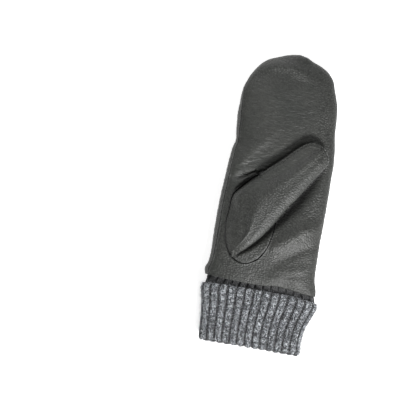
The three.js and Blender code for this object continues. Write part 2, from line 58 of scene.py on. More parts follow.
# Leather body
BODY_LENGTH = 221.0
BODY_WIDTH = 100.0
BODY_HEIGHT = 24.0
LEATHER = 1.4
HEM_WALL = 2.4
HEM_DEPTH = 13.0
HEM_STEP = 2.0
HEM_ROLL = 0.8
SEAM_SHARE = 0.42
TOP_ROUND = 38.0
TOP_SQUARENESS = 2.6
FLOOR_ROUND = 15.0
SEAM_GAP = 0.3
RIGHT_SEAM = 0.02
SEAM_MEETS = 0.17
RIDGE_BLEND = 0.08  # softens the ridge where the slopes from both sides meet

# Thumb
THUMB_LENGTH = 132.4
THUMB_WIDTH = 42.0
THUMB_HEIGHT = 13.0
THUMB_ANGLE = math.radians(50)
THUMB_ROOT_IN = 2.8
THUMB_ROOT_UP = 34.1
THUMB_ROLL = 7.0
THUMB_SHOULDER = 0.965
UPPER_SHOULDER = 0.74  # the thumb lies lower along its upper edge than along its lower one
THUMB_MIDDLE = 0.45  # where its lower edge stands out furthest, as a share of its height
ROLL_FOOT, ROLL_TOP, ROLL_TIP = 5.0, 15.0, 11.0  # the lower edge rounds off over these widths
THUMB_LIFT = 1.2
# Up to the first height above the palm the thumb follows its folds, and from the second on it doesn't
FOLLOW_FROM, FOLLOW_TO = 1.0, 6.0
THUMB_FLOAT = 0.5
THUMB_FLOAT_FROM = 0.446
THUMB_NOSE = 5.8
HOLE_END = 0.333
RISE_LIMIT = 0.68  # the most of the thumb's width that its upper edge's slope takes
ROLL_LIMIT = 0.4  # the most of it that its lower edge's roll takes
UNDER_SHIFT = 0.2  # over this share of its length the tube's sections come to start at its middle

# Cuff
CUFF_HEIGHT = 52.0
CUFF_WIDTH = 104.0
CUFF_THICKNESS = 20.0
CUFF_ROUND = 16.0
HEM_TO_CUFF = 7.0
KNIT = 2.6
RIB_COUNT = 29
LAYER_GAP = 0.5
TUBE_INSIDE = 16.0
TUBE_CLEARANCE = 0.7
HEM_Y = CUFF_HEIGHT + HEM_TO_CUFF


def table(names, rows):
    """A table's columns by name."""
    return dict(zip(names.split(), np.array(rows, float).T))


OUTLINE = table("at left right left_seam", [
    (0.0, 1.07, 1.08, 0.06),
    (0.023, 1.09, 1.065, 0.07),
    (0.055, 1.05, 1.02, 0.07),
    (0.1, 1.03, 1.0, 0.07),
    (0.19, 1.036, 0.998, 0.08),
    (0.32, 1.034, 0.998, 0.08),
    (0.42, 1.018, 0.998, 0.08),
    (0.51, 0.99, 0.994, 0.08),
    (0.56, 0.965, 0.988, 0.07),
    (0.593, 0.932, 0.976, 0.06),
    (0.63, 0.955, 0.96, 0.07),
    (0.69, 0.976, 0.925, 0.08),
    (0.75, 0.977, 0.906, 0.06),
    (0.81, 0.962, 0.87, 0.03),
    (0.845, 0.915, 0.82, 0.01),
    (0.875, 0.86, 0.775, 0.0),
    (0.91, 0.77, 0.72, 0.0),
    (0.937, 0.68, 0.62, 0.0),
    (0.956, 0.57, 0.5, 0.0),
    (0.978, 0.34, 0.27, 0.0),
    (0.992, 0.18, 0.15, 0.0),
    (1.0, 0.0, 0.0, 0.0),
])
HEIGHTS = table("at height", [
    (0.0, 0.8),
    (0.08, 0.88),
    (0.2, 0.98),
    (0.5, 1.0),
    (0.75, 0.97),
    (0.92, 0.88),
    (1.0, 0.82),
])
PALM_FOLDS = table("x y turn length width depth", [
    (-0.66, 0.448, 22, 0.2, 0.035, 0.1),
    (-0.78, 0.5, 20, 0.14, 0.04, -0.045),
    (-0.84, 0.6, 65, 0.16, 0.05, 0.06),
    (0.1, 0.905, -4, 0.3, 0.04, -0.035),
    (0.16, 0.96, -20, 0.12, 0.05, 0.05),
    (0.52, 0.09, 17, 0.3, 0.05, 0.06),
    (0.55, 0.2, 30, 0.28, 0.07, -0.05),
    (0.2, 0.02, 0, 0.2, 0.06, -0.04),
])
THUMB_HOLE = table("at seam_up edge_up edge_low seam_low height rise", [
    (0.0, -0.5, -0.5, -0.5, -0.5, 0.02, 0.1),
    (0.012, -0.32, -0.32, -0.54, -0.68, 0.08, 0.2),
    (0.038, -0.14, -0.14, -0.52, -0.795, 0.28, 0.32),
    (0.083, 0.03, 0.03, -0.545, -0.874, 0.5, 0.45),
    (0.143, 0.222, 0.222, -0.565, -0.91, 0.72, 0.58),
    (0.219, 0.4, 0.4, -0.58, -0.87, 0.88, 0.6),
    (0.295, 0.565, 0.555, -0.567, -0.767, 0.95, 0.45),
    (0.37, 0.585, 0.57, -0.548, -0.612, 0.99, 0.3),
    (0.446, 0.575, 0.55, -0.507, -0.386, 1.0, 0.24),
    (0.498, 0.565, 0.535, -0.48, -0.12, 1.0, 0.22),
    (0.524, 0.53, 0.525, -0.466, 0.06, 1.0, 0.22),
])
THUMB_TUBE = table("at edge_up edge_low height rise", [
    (0.541, 0.515, -0.458, 1.0, 0.22),
    (0.6, 0.5, -0.445, 0.99, 0.24),
    (0.71, 0.45, -0.4, 0.97, 0.26),
    (0.82, 0.424, -0.357, 0.93, 0.26),
    (0.9, 0.39, -0.33, 0.88, 0.25),
    (0.945, 0.335, -0.3, 0.8, 0.22),
    (0.975, 0.25, -0.23, 0.64, 0.18),
    (0.992, 0.14, -0.12, 0.4, 0.1),
])
CUFF_OUTLINE = table("at left right", [
    (0.0, 0.94, 0.93),
    (0.2, 0.957, 0.925),
    (0.45, 0.975, 0.95),
    (0.75, 1.02, 1.05),
    (0.92, 1.055, 1.1),
    (1.0, 1.045, 1.09),
])
HEM_WAVE_FADE = 22.0  # over this length up from the hem its wave fades out
# How far the hem stands up from its straight line, across the mitten
HEM_WAVE = table("x up", [
    (-54, 1.0),
    (-40, 0.2),
    (-20, -0.6),
    (0, -0.8),
    (16, 0.9),
    (30, -0.2),
    (42, -1.8),
    (54, -2.8),
])


def mix(a, b, t):
    return a + (b - a) * t


def smooth(t):
    s = np.clip(t, 0, 1)
    return s * s * (3 - 2 * s)


def rounded(t, squareness):
    """Height of a rounded edge, from 0 at the edge to 1 from t = 1 on."""
    return (1 - (1 - np.clip(t, 0, 1)) ** squareness) ** (1 / squareness)


def along(rows, column, at, key="at"):
    """A table's column at some places, on a smooth curve through its rows."""
    x, y = rows[key], rows[column]
    slope = np.empty_like(y)
    slope[1:-1] = (y[2:] - y[:-2]) / (x[2:] - x[:-2])
    slope[0] = (y[1] - y[0]) / (x[1] - x[0])
    slope[-1] = (y[-1] - y[-2]) / (x[-1] - x[-2])
    place = np.clip(at, x[0], x[-1])
    i = np.clip(np.searchsorted(x, place, side="left") - 1, 0, len(x) - 2)
    span = x[i + 1] - x[i]
    t = (place - x[i]) / span
    t2, t3 = t * t, t * t * t
    return (
        (2 * t3 - 3 * t2 + 1) * y[i]
        + (t3 - 2 * t2 + t) * span * slope[i]
        + (3 * t2 - 2 * t3) * y[i + 1]
        + (t3 - t2) * span * slope[i + 1]
    )


def spline(points, steps):
    """Centripetal Catmull-Rom curves through rows of points, with some steps from each to the next."""
    first = 2 * points[..., :1, :] - points[..., 1:2, :]
    last = 2 * points[..., -1:, :] - points[..., -2:-1, :]
    p = np.concatenate([first, points, last], axis=-2)
    gap = np.sqrt(np.maximum(np.linalg.norm(np.diff(p, axis=-2), axis=-1), 1e-6))[..., None]
    p0, p1, p2, p3 = p[..., :-3, :], p[..., 1:-2, :], p[..., 2:-1, :], p[..., 3:, :]
    g0, g1, g2 = gap[..., :-2, :], gap[..., 1:-1, :], gap[..., 2:, :]
    m1 = ((p1 - p0) / g0 - (p2 - p0) / (g0 + g1) + (p2 - p1) / g1) * g1
    m2 = ((p2 - p1) / g1 - (p3 - p1) / (g1 + g2) + (p3 - p2) / g2) * g1
    t = (np.arange(steps) / steps)[:, None]
    t2, t3 = t * t, t * t * t
    p1, p2, m1, m2 = (v[..., None, :] for v in (p1, p2, m1, m2))
    curve = (2 * t3 - 3 * t2 + 1) * p1 + (t3 - 2 * t2 + t) * m1 + (3 * t2 - 2 * t3) * p2 + (t3 - t2) * m2
    curve = curve.reshape(points.shape[:-2] + (-1, points.shape[-1]))
    return np.concatenate([curve, points[..., -1:, :]], axis=-2)


def run_along(line):
    """How far each point of a line lies from its start, measured along it."""
    steps = np.linalg.norm(np.diff(line, axis=0), axis=1)
    return np.concatenate([[0.0], np.cumsum(steps)])


def respace(line, count):
    """The same line with its points evenly spaced."""
    run = run_along(line)
    places = np.linspace(0, run[-1], count + 1)
    return np.stack([np.interp(places, run, line[:, k]) for k in range(line.shape[1])], axis=1)


def nearest(points, line, chunk=3000):
    """How far points lie from a line, and how far along it their nearest place is."""
    flat = points.reshape(-1, line.shape[1])
    start, way = line[:-1], np.diff(line, axis=0)
    length2 = np.maximum((way ** 2).sum(1), 1e-12)
    run = run_along(line)
    distance = np.empty(len(flat))
    place = np.empty(len(flat))
    for k in range(0, len(flat), chunk):
        off = flat[k:k + chunk, None, :] - start
        t = np.clip(np.einsum("ijk,jk->ij", off, way) / length2, 0, 1)
        gone = np.linalg.norm(off - t[..., None] * way, axis=2)
        best = gone.argmin(1)
        rows = np.arange(len(best))
        distance[k:k + chunk] = gone[rows, best]
        place[k:k + chunk] = run[best] + t[rows, best] * np.sqrt(length2[best])
    return distance.reshape(points.shape[:-1]), place.reshape(points.shape[:-1])


LATTICE = 64


def unevenness(x, y, size, seed):
    """A smooth random height between about -1 and 1, whose humps are size apart."""
    lattice = np.random.default_rng(seed).uniform(-1, 1, (LATTICE, LATTICE))
    gx, gy = np.asarray(x) / size + 17, np.asarray(y) / size + 17
    i, j = np.floor(gx).astype(int), np.floor(gy).astype(int)
    fx, fy = gx - i, gy - j
    sx, sy = (f ** 3 * (f * (6 * f - 15) + 10) for f in (fx, fy))

    def corner(a, b):
        return lattice[(i + a) % LATTICE, (j + b) % LATTICE]

    low = mix(corner(0, 0), corner(1, 0), sx)
    high = mix(corner(0, 1), corner(1, 1), sx)
    return mix(low, high, sy)


class Side:
    """One side of the leather's outline, from the hem to the fingertips."""

    def __init__(self, column, sign):
        x = sign * OUTLINE[column] * BODY_WIDTH / 2
        y = HEM_Y + OUTLINE["at"] * BODY_LENGTH
        self.line = spline(np.stack([x, y], axis=1), 40)
        self.share = run_along(self.line) / run_along(self.line)[-1]
        self.sign = sign

    def at(self, u):
        return np.stack([np.interp(u, self.share, self.line[:, k]) for k in range(2)], axis=-1)

    def moved(self, u, inset):
        """The side's points, moved inwards."""
        way = self.at(np.minimum(u + 0.002, 1)) - self.at(np.maximum(u - 0.002, 0))
        way /= np.linalg.norm(way, axis=-1, keepdims=True)
        inwards = np.stack([-self.sign * way[..., 1], self.sign * way[..., 0]], axis=-1)
        inwards = mix(inwards, np.array([0.0, -1.0]), smooth((u - 0.97) / 0.03)[..., None])
        return self.at(u) + inwards * np.asarray(inset)[..., None]


LEFT, RIGHT = Side("left", -1), Side("right", 1)
SIDE_LINES = [
    np.concatenate([[[side.line[0, 0], HEM_Y - BODY_WIDTH]], respace(side.line, 160)])
    for side in (LEFT, RIGHT)
]


def edge_distance(x, y):
    """How far places in plan lie from the leather's outline."""
    places = np.stack([x, y], axis=-1)
    left, right = (nearest(places, line)[0] for line in SIDE_LINES)
    near = np.minimum(left, right)
    blend = RIDGE_BLEND * (left + right) + 1e-6
    return near - blend * np.log(np.exp((near - left) / blend) + np.exp((near - right) / blend))


def share_up(y):
    return (y - HEM_Y) / BODY_LENGTH


def height_at(y):
    return along(HEIGHTS, "height", share_up(y)) * BODY_HEIGHT


def fold_depth(x, y):
    """Depth of the palm's dents and folds."""
    total = np.zeros(np.shape(x))
    for fx, fy, turn, length, width, depth in zip(*PALM_FOLDS.values()):
        turn = math.radians(turn)
        dx = x - fx * BODY_WIDTH / 2
        dy = y - HEM_Y - fy * BODY_LENGTH
        run = (dx * math.cos(turn) + dy * math.sin(turn)) / (length * BODY_WIDTH / 2)
        off = (dy * math.cos(turn) - dx * math.sin(turn)) / (width * BODY_WIDTH)
        total += depth * BODY_HEIGHT * np.exp(-(run * run + off * off))
    return total


def top_height(x, y, inset=0.0, shift=0.0):
    """Height of the body's upper skin, or of a skin that lies inset below it."""
    away = np.maximum(edge_distance(x, y) - inset, 0)
    full = height_at(y)
    seam = full * SEAM_SHARE + shift
    rise = rounded(away / (TOP_ROUND - inset), TOP_SQUARENESS)
    return seam + (full - inset - seam - fold_depth(x, y)) * rise


def bottom_height(x, y, inset=0.0, shift=0.0):
    away = np.maximum(edge_distance(x, y) - inset, 0)
    seam = height_at(y) * SEAM_SHARE + shift
    return seam - (seam - inset) * rounded(away / (FLOOR_ROUND - inset), 2)


def body_points(u, turn, inset, shift):
    """Points of the body's skin: u runs from hem to tip, turn from the right edge over the palm and on
    under the back of the hand."""
    left, right = LEFT.moved(u, inset), RIGHT.moved(u, inset)
    plan = mix(left, right, ((1 + np.cos(turn)) / 2)[..., None])
    x, y = plan[..., 0], plan[..., 1]
    above = np.sin(turn) >= 0
    z = np.where(above, top_height(x, y, inset, shift), bottom_height(x, y, inset, shift))
    return np.stack([x, y, z], axis=-1)


def wall_at(y):
    """The leather is thicker over the hem, where it is folded in."""
    return mix(HEM_WALL, LEATHER, smooth((y - HEM_Y - HEM_DEPTH) / HEM_STEP + 1))


def hem_warp(points):
    """Lets the hem wave a little across the mitten."""
    fade = smooth(1 - (points[..., 1] - HEM_Y) / HEM_WAVE_FADE)
    points[..., 1] += along(HEM_WAVE, "up", points[..., 0], key="x") * fade
    return points


def spread(density, count):
    """Shares from 0 to 1, closer together where a density over 0 to 1 is high."""
    total = np.concatenate([[0.0], np.cumsum((density[1:] + density[:-1]) / 2)])
    return np.interp(np.linspace(0, total[-1], count + 1), total, np.linspace(0, 1, len(density)))


def panel_turns(u, is_palm):
    """The turns between which a panel lies on each row."""
    y = LEFT.at(u)[..., 1]
    left_inset = np.maximum(along(OUTLINE, "left_seam", share_up(y)), 0)
    left = math.pi - np.arccos(1 - left_inset)
    right = -np.arccos(1 - RIGHT_SEAM * smooth((1 - u) / SEAM_MEETS))
    gap = SEAM_GAP / (BODY_WIDTH / 2)
    if is_palm:
        return right + gap, left - gap
    return left + gap, right + 2 * math.pi - gap


ROW_X = -25  # the rows are spaced by the density along this line
ROUGH_COLUMNS = 90


def panel_places(is_palm, rows, columns, density):
    """Where a panel's grid lies: u of each row and the turn of each of its points."""
    fine = np.linspace(0, 1, 800)
    u = spread(density(0 * fine + ROW_X, LEFT.at(fine)[:, 1]), rows)
    start, end = panel_turns(u, is_palm)
    rough = mix(start[:, None], end[:, None], np.linspace(0, 1, ROUGH_COLUMNS))
    points = body_points(np.repeat(u[:, None], ROUGH_COLUMNS, axis=1), rough, 0.0, 0.0)
    steps = np.linalg.norm(np.diff(points, axis=1), axis=2)
    middle = (points[:, 1:] + points[:, :-1]) / 2
    steps *= density(middle[..., 0], middle[..., 1])
    turns = np.empty((len(u), columns + 1))
    for i, row in enumerate(steps):
        total = np.concatenate([[0.0], np.cumsum(row + 1e-5)])
        turns[i] = np.interp(np.linspace(0, total[-1], columns + 1), total, rough[i])
    return u, turns


def outward(grid, closed_from=None):
    """Unit normals of a grid of points, pointing out where across x along does."""
    rows = np.gradient(grid, axis=0)
    columns = np.gradient(grid, axis=1)
    if closed_from is not None:
        wrap = grid[closed_from:, 1] - grid[closed_from:, -2]
        columns[closed_from:, 0] = wrap
        columns[closed_from:, -1] = wrap
    normal = np.cross(columns, rows)
    length = np.linalg.norm(normal, axis=-1, keepdims=True)
    return normal / np.maximum(length, 1e-9)


def to_frame(points):
    return (np.asarray(points) - ORIGIN) * MM


def added(name, data):
    """A new object in the scene."""
    made = bpy.data.objects.new(name, data)
    bpy.context.scene.collection.objects.link(made)
    return made


def mesh_object(name, points, faces):
    """A smooth-shaded object from points in the mitten's own millimetres."""
    mesh = bpy.data.meshes.new(name)
    mesh.from_pydata(to_frame(points).tolist(), [], faces)
    mesh.validate()
    mesh.shade_smooth()
    return added(name, mesh)


def wall_object(name, outer, inner, step, closed_from=None, foot=False, tip=False):
    """A closed wall between a fine outer grid and an inner one that has every step-th row and column.
    From row closed_from on the first and last columns are one line; foot and tip close to a point."""
    points = np.concatenate([outer.reshape(-1, 3), inner.reshape(-1, 3)])
    out = np.arange(outer.shape[0] * outer.shape[1]).reshape(outer.shape[:2])
    inn = np.arange(inner.shape[0] * inner.shape[1]).reshape(inner.shape[:2]) + out.size
    for index, first in ((out, closed_from), (inn, closed_from and closed_from // step)):
        if closed_from is not None:
            index[first:, -1] = index[first:, 0]
        if foot:
            index[0] = index[0, 0]
        if tip:
            index[-1] = index[-1, 0]
    faces = []
    for index, order in ((out, 1), (inn, -1)):
        quads = np.stack([index[:-1, :-1], index[:-1, 1:], index[1:, 1:], index[1:, :-1]], axis=-1)
        faces += [quad[::order] for quad in quads.reshape(-1, 4).tolist()]
    rims = []
    last_row = out.shape[0] - 1 if closed_from is None else closed_from
    for k in range(last_row // step):
        a, b = k * step, (k + 1) * step
        rims.append([*out[a:b + 1, 0], inn[k + 1, 0], inn[k, 0]])
        rims.append([*out[a:b + 1, -1][::-1], inn[k, -1], inn[k + 1, -1]])
    for k in range((out.shape[1] - 1) // step):
        a, b = k * step, (k + 1) * step
        if not foot:
            rims.append([*out[0, a:b + 1][::-1], inn[0, k], inn[0, k + 1]])
        if not tip and closed_from is None:
            rims.append([*out[-1, a:b + 1], inn[-1, k + 1], inn[-1, k]])
    faces += rims
    cleaned = []
    for face in faces:
        kept = [int(v) for n, v in enumerate(face) if v != face[n - 1]]
        if len(set(kept)) > 2:
            cleaned.append(kept)
    used = np.zeros(len(points), bool)
    used[np.concatenate(cleaned)] = True
    renumbered = np.cumsum(used) - 1
    return mesh_object(name, points[used], [[int(renumbered[v]) for v in face] for face in cleaned])


STEP = 4  # an inner wall has every fourth row and column of the outer one
HEM_ROWS = 8
PALM_GRID = (372, 220)  # rows and columns
BACK_GRID = (260, 144)

# Seams: a groove, and the turned-in edge that stands up some way off it
GROOVE_WIDTH = 0.8
EDGE_OFF = 2.0
EDGE_WIDTH = 1.3
PUCKER_SHARE = 0.65 * 0.3
# The thumb's long seam: how far inside its outline it runs, its groove and the ridge beside it
THUMB_SEAM_IN = 1.7
LONG_GROOVE_DEPTH, LONG_GROOVE_WIDTH = 0.55, 0.55
LONG_RIDGE_HEIGHT, LONG_RIDGE_OFF, LONG_RIDGE_WIDTH = 0.65, 1.3, 0.9
TIP_SEAM_FROM, TIP_SEAM_OVER = 222, 22  # from here on up the side seams are drawn tight

# Folds pressed into the palm: each is a line of places, with its width and depth there. A depth below 0
# is a ridge.
SLIT = table("x y width depth", [
    (-41.5, 139.5, 0.8, 0.4),
    (-37, 144, 1.6, 1.8),
    (-29, 152.5, 2.2, 2.8),
    (-22, 160.5, 1.8, 2.6),
    (-17, 165, 1.2, 0.8),
])
UPPER_FOLD = table("x y width depth", [
    (-47, 153.5, 1.8, 0.2),
    (-40, 154.5, 1.7, 0.9),
    (-32, 157.5, 1.5, 1.5),
    (-23, 163.0, 1.3, 2.2),
])
NOTCH = table("x y width depth", [
    (-23.5, 165.0, 0.7, 0.9),
    (-19.5, 160.5, 0.8, 1.6),
])
SIDE_PINCH = table("x y width depth", [
    (-47.5, 189.5, 1.2, 1.4),
    (-43.5, 187.5, 1.6, 0.6),
    (-39, 184.5, 2.0, 0.1),
])
TIP_FOLD = table("x y width depth", [
    (-32, 261.5, 5.0, -1.2),
    (-20, 266, 5.5, -3.2),
    (-7, 266.5, 5.5, -3.4),
    (5, 264.5, 5.0, -2.0),
    (14, 260, 4.5, -0.4),
])
SHOULDER_RIDGE = table("x y width depth", [
    (-43, 163, 5.0, -0.4),
    (-38, 173, 6.0, -1.7),
    (-29, 185, 6.5, -1.8),
    (-20, 195, 6.5, -1.2),
    (-12, 203, 7.0, -0.3),
])
PALM_RIDGE = table("x y width depth", [
    (-2, 90, 4.5, -0.3),
    (8, 97, 6.0, -1.6),
    (20, 107, 7.0, -2.7),
    (33, 116, 7.0, -2.8),
    (44, 120, 6.5, -1.4),
])
PALM_VALLEY = table("x y width depth", [
    (8, 79, 5.0, 0.2),
    (20, 88, 5.0, 1.0),
    (33, 98, 5.5, 1.2),
    (44, 102, 5.0, 0.8),
])
PALM_FULL = table("x y width depth", [
    (4, 71, 5.0, -0.3),
    (20, 75.5, 5.5, -1.9),
    (33, 79, 6.0, -1.9),
    (44, 82, 5.0, -0.5),
])
HEM_FULL = table("x y width depth", [
    (4, 65, 4.5, -0.2),
    (18, 66, 4.5, -0.9),
    (33, 67.5, 4.5, -1.0),
    (45, 69, 4.5, -0.3),
])
HEM_FALL = table("x y width depth", [
    (-8, 57, 7.0, 0.3),
    (8, 57, 8.0, 1.2),
    (24, 56, 8.0, 1.3),
    (40, 54, 7.0, 0.5),
])


def pressed(plan, fold, wider=0.0):
    """How deep a fold is at some places in plan, or how dark a line of painted shade is."""
    line = np.stack([fold["x"], fold["y"]], axis=1)
    distance, place = nearest(plan, line)
    run = run_along(line)
    width = np.interp(place, run, fold["width"]) + wider
    return np.interp(place, run, fold["depth"]) * np.exp(-((distance / width) ** 2))


def window(value, low, high, edge):
    """1 between two limits and 0 well outside them."""
    return smooth((value - low) / edge + 0.5) * smooth((high - value) / edge + 0.5)


def puckers(run, look, uneven):
    """Where the stitches along a seam draw the leather up, from 0 to 1."""
    return 0.5 + 0.5 * np.sin(2 * np.pi * run / (look.pucker_pitch / MM) + uneven)


def seam_relief(distance, run, look):
    """The turned-in edge along a seam: a groove, and a roll beside it that the stitches pucker."""
    groove = look.seam_depth / MM * np.exp(-((distance / GROOVE_WIDTH) ** 2))
    wave = puckers(run, look, 1.3 * unevenness(run, 0, 9, 5))
    roll = look.seam_roll / MM * np.exp(-(((distance - EDGE_OFF) / EDGE_WIDTH) ** 2))
    return roll * mix(1.0, wave, PUCKER_SHARE) - groove


def blunt(y):
    """Round the fingertips the seam is drawn tight, and shows less."""
    return mix(1.0, 0.2, smooth((y - TIP_SEAM_FROM) / TIP_SEAM_OVER))


def handled(x, y, seed):
    """Slow humps and hollows that handling leaves in the leather."""
    return (
        0.42 * unevenness(x, y, 21, seed)
        + 0.16 * unevenness(x + 0.4 * y, y, 9, seed + 1)
        + 0.04 * unevenness(x, y, 3.6, seed + 2)
    )


def cross_wrinkles(x, y, seed):
    """Short wrinkles that run across the hand, where the palm bends."""
    bend = y + 1.6 * unevenness(x, y, 11, seed + 3)
    return unevenness(x / 4.2, bend / 1.15, 1, seed)


def wrinkled(x, y):
    """Where the cross wrinkles are strongest, from 0 to 1."""
    upper = window(y, 166, 250, 26) * window(x, -44, 26, 18)
    beside = window(y, 146, 176, 16) * window(x, -46, -12, 14)
    lower = window(y, 108, 176, 24) * window(x, 16, 50, 12)
    return np.clip(0.75 * upper + beside + 0.15 * lower, 0, 1)


def pebbled(x, y):
    """Where the pebbled grain stands out most, from 0 to 1."""
    return window(y, 90, 150, 22) * window(x + 0.35 * (y - 60), 12, 90, 22)


def palm_density(x, y):
    return 1 + 0.85 * window(x, -54, 2, 10) * window(y, 84, 172, 12)


def hem_rows(outer, u, turns, shift):
    """Rows round the hem's rolled edge, from the inner skin to the outer one."""
    inner = body_points(np.zeros_like(turns[0]), turns[0], HEM_WALL, shift)
    middle, half = (outer[0] + inner) / 2, (outer[0] - inner) / 2
    angle = np.pi * (1 - np.arange(HEM_ROWS) / HEM_ROWS)[:, None, None]
    return middle + half * np.cos(angle) + np.array([0.0, -HEM_ROLL, 0.0]) * np.sin(angle)


def panel_object(name, is_palm, rows, columns, density, sink, relief):
    """One leather panel with its hem, its lining side, the folds that sink both its sides and the relief
    on its outer one."""
    shift = (SEAM_GAP if is_palm else -SEAM_GAP) / 2
    u, turns = panel_places(is_palm, rows, columns, density)
    every = np.repeat(u[:, None], columns + 1, axis=1)
    skin = body_points(every, turns, 0.0, shift)
    outer = np.concatenate([hem_rows(skin, u, turns, shift), skin])
    outer[..., 2] -= sink(outer[..., :2])
    normal = outward(outer)
    normal[-1] = (0.0, 1.0, 0.0)
    seam = np.concatenate([outer[HEM_ROWS::3, 0], outer[-1:, 0], outer[:HEM_ROWS:-3, -1]])
    distance, run = nearest(outer, seam)
    fade = smooth(np.arange(len(outer)) / HEM_ROWS)[:, None]
    outer += normal * (relief(outer, distance, run) * fade)[..., None]
    first = u[STEP] * np.array([0.25, 0.5, 0.75])
    inner_u = np.concatenate([first, u[STEP::STEP]])
    inner_turns = np.concatenate([np.repeat(turns[:1, ::STEP], 3, axis=0), turns[STEP::STEP, ::STEP]])
    inner_every = np.repeat(inner_u[:, None], inner_turns.shape[1], axis=1)
    wall = wall_at(LEFT.at(inner_every)[..., 1])
    inner = body_points(inner_every, inner_turns, wall, shift)
    inner[..., 2] -= sink(inner[..., :2], LEATHER)
    return wall_object(name, hem_warp(outer), hem_warp(inner), STEP, tip=True)


# The thumb's own axes in plan
ALONG = np.array([math.cos(THUMB_ANGLE), math.sin(THUMB_ANGLE)])
ACROSS = np.array([-math.sin(THUMB_ANGLE), math.cos(THUMB_ANGLE)])
ROOT = np.array([THUMB_ROOT_IN - BODY_WIDTH / 2, HEM_Y + THUMB_ROOT_UP])


def thumb_plan(at, across):
    return ROOT + (at * THUMB_LENGTH)[..., None] * ALONG + (across * THUMB_WIDTH)[..., None] * ACROSS


def beside_thumb(column, rows):
    """A line beside one edge of the thumb, from rows of place, distance outside it, width and depth."""
    at, outside, width, depth = np.array(rows, float).T
    over_hole, on_tube = along(THUMB_HOLE, column, at), along(THUMB_TUBE, column, at)
    edge = np.where(at < THUMB_HOLE["at"][-1], over_hole, on_tube)
    sign = 1 if column == "edge_up" else -1
    plan = thumb_plan(at, edge + sign * outside / THUMB_WIDTH)
    return {"x": plan[:, 0], "y": plan[:, 1], "width": width, "depth": depth}


UNDER_THUMB = beside_thumb("edge_low", [
    (0.02, 0, 1.2, 0.3),
    (0.06, 0, 1.8, 1.4),
    (0.12, 0, 2.4, 2.4),
    (0.22, 0, 3.0, 3.0),
    (0.34, 0, 4.0, 3.4),
    (0.45, 0, 6.5, 4.2),
    (0.58, 0, 8.5, 4.8),
    (0.7, 0, 8.0, 4.2),
    (0.8, 0, 6.0, 2.8),
    (0.88, 0, 4.0, 1.2),
    (0.94, 0, 3.0, 0.3),
])
ABOVE_THUMB = beside_thumb("edge_up", [
    (0.36, 0.2, 1.6, 0.3),
    (0.5, 0.2, 1.7, 0.7),
    (0.65, 0.2, 1.8, 0.8),
    (0.8, 0.2, 1.8, 0.8),
    (0.9, 0.2, 1.8, 0.8),
    (0.96, 0.2, 1.6, 0.5),
])
FOLDS = (
    SLIT, UPPER_FOLD, NOTCH, SIDE_PINCH, TIP_FOLD, SHOULDER_RIDGE, PALM_RIDGE, PALM_VALLEY, PALM_FULL,
    HEM_FULL, HEM_FALL, UNDER_THUMB, ABOVE_THUMB,
)
# Painted shade beside the thumb, where the leather is tucked in: along these lines its colour is drawn
# near-black, and depth is how dark
PAINTED_SHADE_LINES = (
    beside_thumb("edge_low", [
        (0.02, 0.3, 0.6, 0.9),
        (0.06, 0.5, 0.9, 1.0),
        (0.14, 0.6, 1.2, 1.0),
        (0.26, 0.6, 1.5, 1.0),
        (0.36, 1.0, 2.2, 1.0),
        (0.48, 2.2, 4.6, 1.0),
        (0.6, 2.6, 5.4, 1.0),
        (0.72, 2.0, 4.4, 1.0),
        (0.82, 1.1, 2.8, 0.95),
        (0.9, 0.5, 1.3, 0.8),
        (0.97, 0.2, 0.8, 0.5),
    ]),
    beside_thumb("edge_up", [
        (0.29, 0.5, 0.7, 0.9),
        (0.4, 0.7, 0.9, 1.0),
        (0.52, 0.7, 1.1, 1.0),
        (0.65, 0.7, 1.1, 0.85),
        (0.8, 0.6, 1.0, 0.75),
        (0.9, 0.6, 0.9, 0.7),
        (0.97, 0.5, 0.8, 0.6),
    ]),
)


def folded_down(plan, wider=0.0):
    """How far the folds press the palm down at some places in plan."""
    return sum(pressed(plan, fold, wider) for fold in FOLDS)


def thumb_points(at, across, up):
    """Points of the thumb, up above the palm or above the level that its stiff tube keeps."""
    plan = thumb_plan(at, across)
    x, y = plan[..., 0], plan[..., 1]
    palm = top_height(x, y)
    level = THUMB_FLOAT * smooth((at - THUMB_FLOAT_FROM) / np.maximum(1 - at, 1e-6))
    z = mix(palm, np.maximum(palm, height_at(y)), level) + up
    return np.stack([x, y, z], axis=-1)


def edge_arc(edge, reach, bottom, top, turns, middle=0.5):
    """A rounded edge of each section, through some turns in degrees. It stands out furthest at a share
    of its height."""
    turn = np.radians(turns)
    across = edge[:, None] - reach[:, None] * (1 - np.cos(turn))
    share = middle + np.where(turn > 0, 1 - middle, middle) * np.sin(turn)
    return across, mix(bottom[:, None], top[:, None], share)


def gentle_rise(edge, reach, top):
    """The slope up from the seam on the thumb's outer side, flatter than a rounded edge."""
    across = edge[:, None] - reach[:, None] * np.array([0.0, 0.2, 0.55, 1.0])
    return across, top[:, None] * np.array([0.0, 0.26, 0.7, 1.0])


def joined(parts):
    """Sections from parts that each give places across and heights."""
    wide = [[a[:, None] if a.ndim == 1 else a for a in part] for part in parts]
    return np.concatenate([a for a, b in wide], axis=1), np.concatenate([b for a, b in wide], axis=1)


